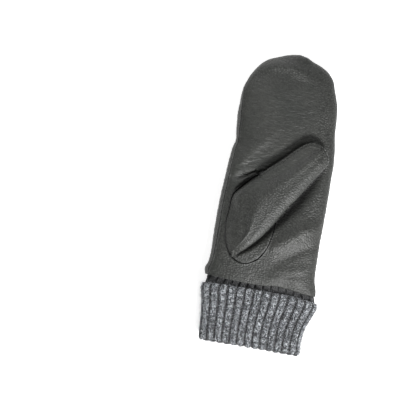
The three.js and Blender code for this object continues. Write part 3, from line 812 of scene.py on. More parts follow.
def hole_sections(at):
    """Sections across the hole: out of the seam, over the top, and round the lower edge back under it to
    a crease and the seam on the other side. Near the foot they slope down to that seam instead."""
    row = {name: along(THUMB_HOLE, name, at) for name in THUMB_HOLE if name != "at"}
    foot = np.sqrt(np.clip(at / THUMB_HOLE["at"][1], 0, 1))
    for name in ("seam_up", "edge_up", "edge_low", "seam_low"):
        row[name] = np.where(foot < 1, -0.5 + (THUMB_HOLE[name][1] + 0.5) * foot, row[name])
    top = row["height"] * THUMB_HEIGHT
    lift = np.minimum(THUMB_LIFT, top / 3)
    width = row["edge_up"] - row["edge_low"]
    shoulder = top * THUMB_SHOULDER
    upper = top * mix(THUMB_SHOULDER, UPPER_SHOULDER, smooth((width - 0.6) / 0.5))
    rise = np.minimum(row["rise"], width * RISE_LIMIT)
    roll = np.minimum(THUMB_ROLL / THUMB_WIDTH, width * ROLL_LIMIT)
    roll_top = mix(ROLL_FOOT, ROLL_TOP, smooth(at / 0.45)) / THUMB_WIDTH
    roll_top = np.minimum(roll_top, width * (1 - RISE_LIMIT))
    steep = edge_arc(row["edge_up"], rise, -upper, upper, [0, 25, 55, 90])
    gentle = gentle_rise(row["edge_up"], rise, upper)
    stands = smooth((at - 0.22) / 0.12)[:, None]
    over = joined([
        (row["seam_up"], -LEATHER * foot),
        tuple(mix(g, s, stands) for g, s in zip(gentle, steep)),
        ((row["edge_up"] - rise + row["edge_low"] + roll_top) / 2, top),
    ])
    crease = row["edge_low"] + roll + LEATHER / THUMB_WIDTH
    under = smooth((row["seam_low"] - row["edge_low"]) * THUMB_WIDTH / THUMB_ROLL)
    rolled = joined([
        edge_arc(row["edge_low"], -roll_top, lift, shoulder, [90, 60, 20], THUMB_MIDDLE),
        edge_arc(row["edge_low"], -roll, lift, shoulder, [-20, -60, -90], THUMB_MIDDLE),
        (crease, lift * 0.8),
        (mix(crease, row["seam_low"], 0.5), lift * mix(0.3, 1, under)),
        (row["seam_low"], lift * under),
    ])
    t = np.linspace(0, 1, 9)
    slope = (
        mix((row["edge_low"] + roll_top)[:, None], row["seam_low"][:, None], t),
        shoulder[:, None] * (1 - smooth(t)),
    )
    turned = smooth((top - 0.8) / 2.2)[:, None]
    return joined([over, tuple(mix(s, r, turned) for s, r in zip(slope, rolled))])


def tube_sections(at):
    """Sections of the closed tube, from the underside round over the upper edge and back."""
    row = {name: along(THUMB_TUBE, name, at) for name in THUMB_TUBE if name != "at"}
    last = THUMB_TUBE["at"][-1]
    nose = np.sqrt(np.clip((1 - at) / (1 - last), 0, 1))
    row = {name: value * nose for name, value in row.items()}
    thick = row["height"] * (THUMB_HEIGHT - THUMB_LIFT)
    middle = mix(THUMB_NOSE, (THUMB_HEIGHT + THUMB_LIFT) / 2, row["height"])
    bottom = middle - thick / 2
    shoulder, upper = bottom + thick * THUMB_SHOULDER, bottom + thick * UPPER_SHOULDER
    width = row["edge_up"] - row["edge_low"]
    roll = np.minimum(THUMB_ROLL / THUMB_WIDTH, width * ROLL_LIMIT)
    roll_top = mix(ROLL_TOP, ROLL_TIP, smooth((at - 0.5) / 0.4)) / THUMB_WIDTH
    roll_top = np.minimum(roll_top, width * ROLL_LIMIT)
    start = mix(HOLE_END, 0, smooth((at - THUMB_TUBE["at"][0]) / UNDER_SHIFT))
    return joined([
        (start, bottom),
        edge_arc(row["edge_up"], row["rise"], bottom, upper, [-60, -20, 20, 60, 90]),
        ((row["edge_up"] - row["rise"] + row["edge_low"] + roll_top) / 2, bottom + thick),
        edge_arc(row["edge_low"], -roll_top, bottom, shoulder, [90, 60, 20], THUMB_MIDDLE),
        edge_arc(row["edge_low"], -roll, bottom, shoulder, [-20, -60, -90], THUMB_MIDDLE),
        (start, bottom),
    ])


# Columns up the upper edge, over the top, round the lower edge and back under it
COLUMN_PARTS = (50, 48, 36, 34)
THUMB_COLUMNS = sum(COLUMN_PARTS)
# The controls of a section between which those columns lie, over the hole and on the tube
HOLE_CORNERS = (0, 4, 6, 11, 14)
TUBE_CORNERS = (0, 5, 7, 12, 13)
FOOT_ROWS, HOLE_ROWS, BRIDGE_ROWS, TUBE_ROWS, NOSE_ROWS = 12, 88, 4, 76, 12
TUBE_FROM = FOOT_ROWS + HOLE_ROWS + BRIDGE_ROWS


def section_lines(at, sections, corners):
    """The sections' lines, with a fixed number of columns between the controls at their corners."""
    across, up = sections
    controls = thumb_points(np.repeat(at[:, None], across.shape[1], axis=1), across, up)
    lines = spline(controls, 16)
    parts = [
        np.stack([respace(line[16 * a:16 * b + 1], count)[1:] for line in lines])
        for a, b, count in zip(corners, corners[1:], COLUMN_PARTS)
    ]
    return np.concatenate([lines[:, :1], *parts], axis=1)


@functools.lru_cache(maxsize=None)
def thumb_skin():
    """The thumb's outer skin, row by row, from the foot of the hole to the tip."""
    foot_end, hole_end = THUMB_HOLE["at"][1], THUMB_HOLE["at"][-1]
    foot = foot_end * (np.arange(1, FOOT_ROWS) / FOOT_ROWS) ** 2
    hole = np.concatenate([foot, np.linspace(foot_end, hole_end, HOLE_ROWS + 1)])
    tube_start, tube_end = THUMB_TUBE["at"][0], THUMB_TUBE["at"][-1]
    nose = 1 - (1 - tube_end) * (1 - np.arange(1, NOSE_ROWS) / NOSE_ROWS) ** 2
    tube = np.concatenate([np.linspace(tube_start, tube_end, TUBE_ROWS + 1), nose])
    open_rows = section_lines(hole, hole_sections(hole), HOLE_CORNERS)
    closed_rows = section_lines(tube, tube_sections(tube), TUBE_CORNERS)
    steps = (np.arange(1, BRIDGE_ROWS) / BRIDGE_ROWS)[:, None, None]
    bridge = mix(open_rows[-1], closed_rows[0], steps)
    start, end = (
        np.tile(thumb_points(*np.array(place)), (1, THUMB_COLUMNS + 1, 1))
        for place in ((0.0, -0.5, 0.0), (1.0, 0.0, THUMB_NOSE))
    )
    skin = np.concatenate([start, open_rows, bridge, closed_rows, end])
    up = skin[..., 2] - top_height(skin[..., 0], skin[..., 1])
    skin[..., 2] -= folded_down(skin[..., :2]) * smooth((FOLLOW_TO - up) / (FOLLOW_TO - FOLLOW_FROM))
    return skin


def moved_along_normals(skin, depth, step):
    normal = outward(skin, TUBE_FROM)
    normal[0] = (0.0, 0.0, 1.0)
    normal[-1] = (*ALONG, 0.0)
    return (skin - normal * depth)[::step, ::step], normal


def thumb_seam_line():
    """The seam that closes the tube, in plan: along its upper edge, round the tip and a little way back
    on the lower edge, a little inside the outline."""
    upper = np.linspace(0.52, THUMB_TUBE["at"][-1], 60)
    lower = np.linspace(THUMB_TUBE["at"][-1], 0.93, 10)
    edge_up = along(THUMB_TUBE, "edge_up", upper)
    edge_low = along(THUMB_TUBE, "edge_low", lower)
    edge = np.concatenate([
        thumb_plan(upper, edge_up),
        thumb_plan(np.array([1.0]), np.array([0.0])),
        thumb_plan(lower, edge_low),
    ])
    edge = respace(edge, 160)
    way = np.gradient(edge, axis=0)
    way /= np.linalg.norm(way, axis=1, keepdims=True)
    inwards = np.stack([way[:, 1], -way[:, 0]], axis=1)
    return edge + THUMB_SEAM_IN * inwards


def thumb_relief(skin, normal, look):
    x, y = skin[..., 0], skin[..., 1]
    hole_edge = np.concatenate([skin[:TUBE_FROM + 1:2, 0], skin[TUBE_FROM::-2, -1]])
    distance, run = nearest(skin, hole_edge)
    relief = seam_relief(distance, run, look) * (np.arange(len(skin)) < TUBE_FROM + 6)[:, None]
    distance, run = nearest(skin[..., :2], thumb_seam_line())
    top = smooth(normal[..., 2] * 3 + 0.4)
    wave = puckers(run, look, 1.6 * unevenness(run, 3, 8, 8))
    groove = LONG_GROOVE_DEPTH * np.exp(-((distance / LONG_GROOVE_WIDTH) ** 2)) * mix(0.5, 1.0, wave)
    ridge = LONG_RIDGE_HEIGHT * np.exp(-(((distance - LONG_RIDGE_OFF) / LONG_RIDGE_WIDTH) ** 2))
    ridge = ridge * mix(0.25, 1.0, 1 - wave)
    relief += (ridge - groove) * top
    relief += handled(x, y, 31) * 0.7
    off = (skin[..., :2] - ROOT) @ ACROSS / THUMB_WIDTH
    rolled = smooth((-0.05 - off) * 3) * smooth(normal[..., 2] * 3 + 0.3)
    relief += 0.5 * look.pebble_height / MM * rolled * unevenness(x, y, 1.1, 33)
    return relief


# Cuff: the depths of its two layers below the outer face
FLAP_BACK = KNIT
TUBE_FACE = KNIT + LAYER_GAP
TUBE_BACK = 2 * KNIT + LAYER_GAP
TUBE_TOP = HEM_Y + TUBE_INSIDE
SOLE_LIFT = 1.2  # room for the stitches between the knit's ground and the floor
FOLD_DROP = 2.2
FOLD_SCALLOP = 1.4
RIB_COLUMNS = 10
GROOVE_DEPTH = 1.5
GROOVE_SHARE = 0.11  # of a rib's width
RIB_BULGE = 0.6
WALE_SHARE = 0.66  # the share of a rib's width that its stitches fill, the rest being its groove
# The space behind the turned-back layer starts this far above the fold, and is round at its foot
POCKET_FOOT, POCKET_START = 2.7, 3.2
NECK_START = 48  # from here up the tube is ribbed
# Rows of the path: up the outside, over its edge, down behind it, up the hidden part of the tube and the
# neck that shows below the hem, down the inside, of which the last ones show, and round the fold
OUTSIDE_ROWS, EDGE_ROWS, BEHIND_ROWS, HIDDEN_ROWS, NECK_ROWS = 46, 7, 10, 8, 14
INSIDE_ROWS, SHOWN_ROWS, FOLD_ROWS = 30, 16, 11
# How far the turned-back edge stands up from its straight line, across the mitten
CUFF_EDGE = table("x up", [
    (-58, -2.0),
    (-50, -0.6),
    (-30, 0.4),
    (0, 0.6),
    (30, 0.2),
    (44, -1.0),
    (52, -2.2),
    (58, -4.2),
])


def half_widths(outline, at, width):
    """How far an outline reaches from the middle, to its left and to its right."""
    return (along(outline, side, at) * width / 2 for side in ("left", "right"))


def cuff_points(y, turn, depth):
    """Points of the cuff: y up from the fold, turn round from the right edge over the palm side, depth
    below the outer face. Above the turned-back edge the tube narrows to fit inside the hem."""
    y, turn, depth = np.broadcast_arrays(y, turn, depth)
    across = (1 + np.cos(turn)) / 2
    above = np.sin(turn) >= 0
    left, right = (half - depth for half in half_widths(CUFF_OUTLINE, y / CUFF_HEIGHT, CUFF_WIDTH))
    away = (left + right) / 2 * (1 - np.abs(np.cos(turn)))
    swell = (CUFF_THICKNESS / 2 - depth) * rounded(away / (CUFF_ROUND - depth), 2)
    x = mix(-left, right, across)
    z = CUFF_THICKNESS / 2 + np.where(above, swell, -swell)
    z += SOLE_LIFT * (1 - z / CUFF_THICKNESS)
    flap = smooth((TUBE_FACE - depth) / LAYER_GAP)
    lifted = y + along(CUFF_EDGE, "up", x, key="x") * smooth((y - 20) / 32) * flap
    points = np.stack([x, lifted, z], axis=-1)
    sewn = y > CUFF_HEIGHT
    if sewn.any():
        inset = (depth - TUBE_FACE + HEM_WALL + TUBE_CLEARANCE)[sewn]
        left, right = (half - inset for half in half_widths(OUTLINE, share_up(y[sewn]), BODY_WIDTH))
        sx, sy = mix(-left, right, across[sewn]), np.maximum(y[sewn], HEM_Y)
        z_top, z_low = top_height(sx, sy, inset), bottom_height(sx, sy, inset)
        tube = np.stack([sx, y[sewn], np.where(above[sewn], z_top, z_low)], axis=-1)
        share = smooth((y[sewn] - CUFF_HEIGHT) / HEM_TO_CUFF)[:, None]
        points[sewn] = mix(points[sewn], tube, share)
    return points


def path_rows(*stretches):
    """Rows of y, depth, how deep the grooves are and how far the ribs bulge, from stretches of them."""
    return np.concatenate([np.stack(np.broadcast_arrays(*stretch), axis=-1) for stretch in stretches])


def cuff_path():
    """The cuff's section: up the outside, over the turned-back edge, down behind it, up the tube, over
    its top, down the inside and round the fold."""
    edge = KNIT / 2
    turn = np.linspace(0, math.pi, EDGE_ROWS + 2)[1:-1]
    under = np.linspace(0, math.pi, FOLD_ROWS + 2)[1:-1]
    middle = TUBE_BACK / 2
    return path_rows(
        (np.linspace(1, CUFF_HEIGHT - edge, OUTSIDE_ROWS), 0.0, 1.0, 0.0),
        (CUFF_HEIGHT - edge + edge * np.sin(turn), edge * (1 - np.cos(turn)), 1 - turn / 4.5, 0.0),
        (np.linspace(CUFF_HEIGHT - edge, POCKET_START, BEHIND_ROWS), FLAP_BACK, 0.0, 0.0),
        (np.array([POCKET_FOOT]), (FLAP_BACK + TUBE_FACE) / 2, 0.0, 0.0),
        (np.linspace(POCKET_START, NECK_START - 2, HIDDEN_ROWS), TUBE_FACE, 0.0, 0.0),
        (np.linspace(NECK_START, HEM_Y + 2, NECK_ROWS), TUBE_FACE, 0.8, 0.0),
        (np.linspace(HEM_Y + 5, TUBE_TOP - 0.6, 5), TUBE_FACE, 0.0, 0.0),
        (np.array([TUBE_TOP]), (TUBE_FACE + TUBE_BACK) / 2, 0.0, 0.0),
        (np.linspace(TUBE_TOP - 0.6, HEM_Y, 5), TUBE_BACK, 0.0, 0.0),
        (np.linspace(HEM_Y - 3, 1, INSIDE_ROWS), TUBE_BACK, 0.6, 0.0),
        (1 - FOLD_DROP * np.sin(under), middle + middle * np.cos(under), 0.8, np.sin(under)),
    )


def rib_profile(place):
    """How deep the knit lies below a rib's back, from its groove at 0 to the next one at 1."""
    share = place % 1
    from_groove = np.minimum(share, 1 - share)
    groove = GROOVE_DEPTH * np.exp(-((from_groove / GROOVE_SHARE) ** 2))
    return groove + RIB_BULGE * (1 - np.sin(np.pi * share))


def cuff_grid(path, ribs):
    """Points of the cuff on each row of a path, at places counted in ribs from the right edge."""
    y, depth, groove, bulge = (path[:, k:k + 1] for k in range(4))
    dense = np.linspace(0, 2 * math.pi, 721)[None]
    line = cuff_points(y, dense, depth)
    steps = np.linalg.norm(np.diff(line, axis=1), axis=2)
    turns = np.empty((len(path), len(ribs)))
    for i, row in enumerate(steps):
        run = np.concatenate([[0.0], np.cumsum(row)])
        turns[i] = np.interp((ribs / RIB_COUNT % 1) * run[-1], run, dense[0])
    low = rib_profile(ribs)[None]
    inwards = np.where(depth > TUBE_FACE + 0.01, -1.0, 1.0)
    down = bulge * FOLD_SCALLOP * (1 - low / low.max())
    return cuff_points(y - down, turns, depth + inwards * groove * low)


def knit_ground(name, path, is_whole):
    """The ribbed ground along a path: the whole of it is one closed wall, and a part an open band."""
    ribs = np.arange(RIB_COUNT * RIB_COLUMNS) / RIB_COLUMNS
    grid = cuff_grid(path, ribs)
    rows, columns = grid.shape[:2]
    index = np.arange(rows * columns).reshape(rows, columns)
    after, beside = np.roll(index, -1, axis=0), np.roll(index, -1, axis=1)
    corner = np.roll(after, -1, axis=1)
    quads = np.stack([index, after, corner, beside], axis=-1)
    if not is_whole:
        quads = quads[:-1]
    return mesh_object(name, grid.reshape(-1, 3), quads.reshape(-1, 4).tolist())


def laid_on_floor(piece):
    """Flattens what would reach below the floor."""
    flat = np.empty(len(piece.data.vertices) * 3)
    piece.data.vertices.foreach_get("co", flat)
    flat[2::3] = np.maximum(flat[2::3], 0.0)
    piece.data.vertices.foreach_set("co", flat)
    piece.data.update()


# How far off, in millimetres and in ribs, the points lie that tell which way the knit runs
NEAR_BY = 0.5
NEAR_RIB = 0.03


def stitch_points(name, path, ribs, course):
    """A mesh of bare points, one for each stitch, with the ways that it faces and runs and its size."""
    run = run_along(path[:, :2])
    places = np.arange(course / 2, run[-1], course)

    def grid(place, beside=0.0):
        rows = [np.interp(np.clip(place, 0, run[-1]), run, path[:, k]) for k in range(4)]
        return cuff_grid(np.stack(rows, axis=1), ribs + beside)

    here = grid(places)
    up = grid(places + NEAR_BY) - grid(places - NEAR_BY)
    side = grid(places, NEAR_RIB) - grid(places, -NEAR_RIB)
    wale = np.linalg.norm(side, axis=-1, keepdims=True) / (2 * NEAR_RIB) * (ribs[1] - ribs[0])
    out = np.cross(up, side)
    values = {
        "out": out / np.linalg.norm(out, axis=-1, keepdims=True),
        "way": up / np.linalg.norm(up, axis=-1, keepdims=True),
        "size": np.concatenate([wale, 0 * wale + course, 0 * wale + 1.0], axis=-1) * MM,
    }
    mesh = bpy.data.meshes.new(name)
    mesh.from_pydata(to_frame(here.reshape(-1, 3)).tolist(), [], [])
    for key, value in values.items():
        layer = mesh.attributes.new(key, "FLOAT_VECTOR", "POINT")
        layer.data.foreach_set("vector", value.reshape(-1).astype(np.float32))
    return added(name, mesh)


def node(tree, kind, inputs=(), **settings):
    """Adds a node with its settings. Inputs are by name or number, as values or other nodes' outputs."""
    made = tree.nodes.new(kind)
    for name, value in settings.items():
        setattr(made, name, value)
    for key, value in dict(inputs).items():
        if isinstance(value, bpy.types.NodeSocket):
            tree.links.new(value, made.inputs[key])
        else:
            made.inputs[key].default_value = value
    return made


def linear(colour):
    """A colour written as sRGB hex, as linear red, green, blue and alpha."""
    channels = [int(colour[k:k + 2], 16) / 255 for k in (1, 3, 5)]
    return [c / 12.92 if c <= 0.04045 else ((c + 0.055) / 1.055) ** 2.4 for c in channels] + [1.0]


def new_tree(name, sockets):
    """A geometry node tree with a geometry input and output and some named inputs."""
    tree = bpy.data.node_groups.new(name, "GeometryNodeTree")
    tree.interface.new_socket("Geometry", in_out="OUTPUT", socket_type="NodeSocketGeometry")
    tree.interface.new_socket("Geometry", in_out="INPUT", socket_type="NodeSocketGeometry")
    for label, kind in sockets.items():
        tree.interface.new_socket(label, in_out="INPUT", socket_type=kind)
    return tree, node(tree, "NodeGroupInput").outputs


def close_tree(tree, geometry, material):
    real = node(tree, "GeometryNodeRealizeInstances", {"Geometry": geometry})
    painted = node(tree, "GeometryNodeSetMaterial", {"Geometry": real.outputs[0], "Material": material})
    node(tree, "NodeGroupOutput", {"Geometry": painted.outputs[0]})
    return tree


def made_by(tree, base, name, values):
    """The plain mesh that a geometry node tree makes of an object, which goes."""
    modifier = base.modifiers.new(tree.name, "NODES")
    modifier.node_group = tree
    items = tree.interface.items_tree
    sockets = {item.name: item.identifier for item in items if item.in_out == "INPUT"}
    for label, value in values.items():
        modifier[sockets[label]] = value
    evaluated = base.evaluated_get(bpy.context.evaluated_depsgraph_get())
    mesh = bpy.data.meshes.new_from_object(evaluated)
    bpy.data.objects.remove(base)
    mesh.name = name
    if not mesh.polygons:
        raise RuntimeError(name + " came out empty")
    return added(name, mesh)


def stitch_tree(name, material, segments, sides):
    """Stitches on points: each is a V of two bent lengths of yarn, in shares of its own width and
    height."""
    tree, given = new_tree(name, {"Yarn Radius": "NodeSocketFloat", "Seed": "NodeSocketInt"})
    profile = node(tree, "GeometryNodeCurvePrimitiveCircle", {
        "Resolution": sides, "Radius": given["Yarn Radius"],
    })
    legs = []
    for sign in (1, -1):
        leg = node(tree, "GeometryNodeCurveQuadraticBezier", {
            "Resolution": segments,
            "Start": (0.06 * sign, -0.8, -0.25),
            "Middle": (0.42 * sign, -0.15, 0.55),
            "End": (0.3 * sign, 0.78, -0.2),
        })
        tube = node(tree, "GeometryNodeCurveToMesh", {
            "Curve": leg.outputs[0],
            "Profile Curve": profile.outputs[0],
            "Fill Caps": True,
        })
        legs.append(tube.outputs[0])
    stitch = node(tree, "GeometryNodeJoinGeometry")
    for leg in legs:
        tree.links.new(leg, stitch.inputs[0])
    out, way, size = (
        node(tree, "GeometryNodeInputNamedAttribute", {"Name": key}, data_type="FLOAT_VECTOR").outputs[0]
        for key in ("out", "way", "size")
    )
    facing = node(
        tree, "FunctionNodeAxesToRotation", {"Primary Axis": out, "Secondary Axis": way},
        primary_axis="Z", secondary_axis="Y",
    )
    tilt = node(
        tree, "FunctionNodeRandomValue",
        {0: (-0.16, -0.16, -0.2), 1: (0.16, 0.16, 0.2), "Seed": given["Seed"]}, data_type="FLOAT_VECTOR",
    )
    turned = node(
        tree, "FunctionNodeRotateRotation",
        {"Rotation": facing.outputs[0], "Rotate By": tilt.outputs[0]}, rotation_space="LOCAL",
    )
    grow = node(
        tree, "FunctionNodeRandomValue",
        {0: (0.9, 0.9, 0.85), 1: (1.15, 1.12, 1.2), "Seed": given["Seed"]}, data_type="FLOAT_VECTOR",
    )
    scale = node(tree, "ShaderNodeVectorMath", {0: size, 1: grow.outputs[0]}, operation="MULTIPLY")
    shade = node(tree, "FunctionNodeRandomValue", {"Seed": given["Seed"]}, data_type="FLOAT")
    marked = node(
        tree, "GeometryNodeStoreNamedAttribute",
        {"Geometry": given["Geometry"], "Name": "marl", "Value": shade.outputs[1]},
        data_type="FLOAT", domain="POINT",
    )
    placed = node(tree, "GeometryNodeInstanceOnPoints", {
        "Points": marked.outputs[0],
        "Instance": stitch.outputs[0],
        "Rotation": turned.outputs[0],
        "Scale": scale.outputs[0],
    })
    return close_tree(tree, placed.outputs[0], material)


def fuzz_tree(material):
    """Fine bent fibres that stand out of the knit's surface."""
    tree, given = new_tree("wool fuzz", {
        "Fibres per m2": "NodeSocketFloat", "Length": "NodeSocketFloat", "Seed": "NodeSocketInt",
    })
    spots = node(tree, "GeometryNodeDistributePointsOnFaces", {
        "Mesh": given["Geometry"], "Density": given["Fibres per m2"], "Seed": given["Seed"],
    }, distribute_method="RANDOM")
    fibre = node(tree, "GeometryNodeCurveQuadraticBezier", {
        "Resolution": 2, "Start": (0, 0, -0.15), "Middle": (0.1, 0, 0.6), "End": (0.7, 0.1, 0.8),
    })
    profile = node(tree, "GeometryNodeCurvePrimitiveCircle", {"Resolution": 3, "Radius": 0.02})
    thread = node(tree, "GeometryNodeCurveToMesh", {
        "Curve": fibre.outputs[0], "Profile Curve": profile.outputs[0], "Fill Caps": True,
    })
    lean = node(
        tree, "FunctionNodeRandomValue",
        {0: (-0.9, -0.9, -3.14), 1: (0.9, 0.9, 3.14), "Seed": given["Seed"]}, data_type="FLOAT_VECTOR",
    )
    turned = node(
        tree, "FunctionNodeRotateRotation",
        {"Rotation": spots.outputs["Rotation"], "Rotate By": lean.outputs[0]}, rotation_space="LOCAL",
    )
    long = node(
        tree, "FunctionNodeRandomValue",
        {2: 0.5, 3: 1.3, "Seed": given["Seed"]}, data_type="FLOAT",
    )
    size = node(tree, "ShaderNodeMath", {0: long.outputs[1], 1: given["Length"]}, operation="MULTIPLY")
    placed = node(tree, "GeometryNodeInstanceOnPoints", {
        "Points": spots.outputs["Points"],
        "Instance": thread.outputs[0],
        "Rotation": turned.outputs[0],
        "Scale": size.outputs[0],
    })
    return close_tree(tree, placed.outputs[0], material)


def new_material(name):
    """A material with its node tree emptied, and its shader and output in place."""
    material = bpy.data.materials.new(name)
    material.use_nodes = True
    tree = material.node_tree
    tree.nodes.clear()
    shader = node(tree, "ShaderNodeBsdfPrincipled")
    node(tree, "ShaderNodeOutputMaterial", {"Surface": shader.outputs[0]})
    return material, tree, shader


# Sizes of the leather's patterns: the drift of its dye, its wrinkles, what bends its pebbles, its pores
DRIFT_SIZE, WRINKLE_SIZE, BEND_SIZE, PORE_SIZE = 34, 1.5, 3.0, 1.1
# Sizes of the yarn's: the flecks are drawn coarser than real ones, to show
FLECK_SIZE, PLY_SIZE = 0.8, 0.35
# How deep the pores and the grooves between plies are, in metres
PORE_DEPTH, PLY_DEPTH = 0.00012, 0.0003


def place_in_mm(tree):
    """Where a point lies on its piece, in millimetres."""
    place = node(tree, "ShaderNodeTexCoord").outputs["Object"]
    scaled = node(tree, "ShaderNodeVectorMath", {0: place, 1: (1 / MM,) * 3}, operation="MULTIPLY")
    return scaled.outputs[0]


def nappa_leather(look):
    """Drum-dyed lamb nappa: a soft low sheen that breaks up over a fine pebbled grain, longer wrinkles
    across the hand, and a slow drift between greener and greyer olive. Painted shade draws it near-black
    in the seams and beside the thumb."""
    material, tree, shader = new_material("nappa_leather")
    mm = place_in_mm(tree)
    drift = node(tree, "ShaderNodeTexNoise", {
        "Vector": mm, "Scale": 1 / DRIFT_SIZE, "Detail": 3.0, "Roughness": 0.55,
    })
    fine = node(tree, "ShaderNodeTexNoise", {
        "Vector": mm, "Scale": 1 / PORE_SIZE, "Detail": 2.0, "Roughness": 0.6,
    })
    # Lamb nappa's pebbles are about 0.8 mm apart. They are drawn nearly twice as coarse, to show.
    pebble_size = look.grain_size / MM
    bent = node(tree, "ShaderNodeTexNoise", {"Vector": mm, "Scale": 1 / BEND_SIZE, "Detail": 2.0})
    shifted = node(tree, "ShaderNodeVectorMath", {0: bent.outputs["Color"], 1: mm}, operation="ADD")
    flat = node(tree, "ShaderNodeVectorMath", {
        0: shifted.outputs[0], 1: (0.75, 1.0, 0.8),
    }, operation="MULTIPLY")
    cells = node(tree, "ShaderNodeTexVoronoi", {
        "Vector": flat.outputs[0], "Scale": 1 / pebble_size,
    }, feature="F1")
    pebble = node(tree, "ShaderNodeMapRange", {
        "Value": cells.outputs["Distance"],
        "From Min": 0.0, "From Max": 0.75, "To Min": 0.95, "To Max": 0.05,
    })
    crinkle = node(tree, "ShaderNodeTexNoise", {
        "Vector": flat.outputs[0], "Scale": 1 / pebble_size,
        "Detail": 2.0, "Roughness": 0.6, "Distortion": 0.3,
    })
    mixed = node(tree, "ShaderNodeMix", {
        "Factor": 0.45, 2: pebble.outputs[0], 3: crinkle.outputs["Fac"],
    })
    stretch = node(tree, "ShaderNodeVectorMath", {
        0: shifted.outputs[0], 1: (0.24, 1.0, 0.5),
    }, operation="MULTIPLY")
    wrinkle = node(tree, "ShaderNodeTexNoise", {
        "Vector": stretch.outputs[0], "Scale": 1 / WRINKLE_SIZE,
        "Detail": 2.0, "Roughness": 0.5, "Distortion": 0.8,
    })
    bends = node(tree, "ShaderNodeAttribute", attribute_name="bends").outputs["Fac"]
    painted_shade = node(tree, "ShaderNodeAttribute", attribute_name="painted_shade").outputs["Fac"]
    grain = node(tree, "ShaderNodeMix", {
        "Factor": bends, 2: mixed.outputs[0], 3: wrinkle.outputs["Fac"],
    }).outputs[0]
    light = node(tree, "ShaderNodeMapRange", {
        "Value": drift.outputs["Fac"], "From Min": 0.35, "From Max": 0.65, "To Min": 0.0, "To Max": 1.0,
    })
    ground = node(tree, "ShaderNodeMix", {
        "Factor": light.outputs[0], 6: look.green_tone, 7: look.grey_tone,
    }, data_type="RGBA")
    pits = node(tree, "ShaderNodeMapRange", {
        "Value": grain, "From Min": 0.25, "From Max": 0.75, "To Min": 0.55, "To Max": 1.45,
    })
    dyed = node(tree, "ShaderNodeVectorMath", {
        0: ground.outputs[2], 1: pits.outputs[0],
    }, operation="MULTIPLY")
    # Painted shade: by the attribute read above, the colour is drawn near-black in the seams and beside
    # the thumb
    with_painted_shade = node(tree, "ShaderNodeMix", {
        "Factor": painted_shade, 6: dyed.outputs[0], 7: look.painted_shade_tone,
    }, data_type="RGBA")
    tree.links.new(with_painted_shade.outputs[2], shader.inputs["Base Color"])
    rough = node(tree, "ShaderNodeMapRange", {
        "Value": fine.outputs["Fac"], "From Min": 0.3, "From Max": 0.7,
        "To Min": look.roughness - 0.07, "To Max": look.roughness + 0.09,
    })
    tree.links.new(rough.outputs[0], shader.inputs["Roughness"])
    coarse = node(tree, "ShaderNodeBump", {
        "Height": grain, "Distance": look.grain_depth, "Strength": 1.0,
    })
    soft = node(tree, "ShaderNodeBump", {
        "Height": fine.outputs["Fac"], "Distance": PORE_DEPTH, "Strength": 0.7,
        "Normal": coarse.outputs[0],
    })
    tree.links.new(soft.outputs[0], shader.inputs["Normal"])
    shader.inputs["IOR"].default_value = 1.5
    return material


def marled_wool(look):
    """Marled wool yarn: strands of near-black, blue-grey and off-white plied together, so that short
    flecks of each show, under a pale haze of loose fibres. Painted shade darkens the yarn that lies in
    shade: the ground between the stitches, the tube below the hem and the inside rows."""
    material, tree, shader = new_material("marled_wool")
    mm = place_in_mm(tree)
    marl = node(tree, "ShaderNodeAttribute", attribute_name="marl").outputs["Fac"]
    fleck = node(tree, "ShaderNodeTexNoise", {
        "Vector": mm, "Scale": 1 / FLECK_SIZE, "Detail": 1.5, "Roughness": 0.7,
    })
    ply = node(tree, "ShaderNodeTexNoise", {"Vector": mm, "Scale": 1 / PLY_SIZE, "Detail": 1.0})
    both = node(tree, "ShaderNodeMath", {
        0: marl, 1: 0.16, 2: fleck.outputs["Fac"],
    }, operation="MULTIPLY_ADD")
    tones = node(tree, "ShaderNodeValToRGB", {"Fac": both.outputs[0]})
    ramp = tones.color_ramp
    ramp.interpolation = "EASE"
    while len(ramp.elements) < 4:
        ramp.elements.new(0.5)
    strands = (look.dark_strand, look.mid_strand, look.pale_strand, look.white_strand)
    for element, at, tone in zip(ramp.elements, (0.5, 0.565, 0.63, 0.7), strands):
        element.position = at
        element.color = tone
    # Painted shade: the groove attribute draws the yarn towards a near-black tone where it lies in shade
    painted_knit_shade = node(tree, "ShaderNodeAttribute", attribute_name="groove").outputs["Fac"]
    shaded = node(tree, "ShaderNodeMix", {
        "Factor": painted_knit_shade, 6: tones.outputs[0], 7: look.knit_painted_shade_tone,
    }, data_type="RGBA")
    tree.links.new(shaded.outputs[2], shader.inputs["Base Color"])
    bump = node(tree, "ShaderNodeBump", {
        "Height": ply.outputs["Fac"], "Distance": PLY_DEPTH, "Strength": 0.8,
    })
    tree.links.new(bump.outputs[0], shader.inputs["Normal"])
    shader.inputs["Roughness"].default_value = 0.92
    shader.inputs["IOR"].default_value = 1.5
    shader.inputs["Sheen Weight"].default_value = 0.3
    shader.inputs["Sheen Roughness"].default_value = 0.6
    return material


def amount(name, description, value, low=0.0, **settings):
    return bpy.props.FloatProperty(
        name=name, description=description, default=value, min=low, **settings,
    )


def length(name, description, mm):
    return amount(name, description, mm * MM, unit="LENGTH", precision=5)


def colour(name, description, value):
    return bpy.props.FloatVectorProperty(
        name=name, description=description, default=linear(value), subtype="COLOR", size=4,
        min=0.0, max=1.0,
    )


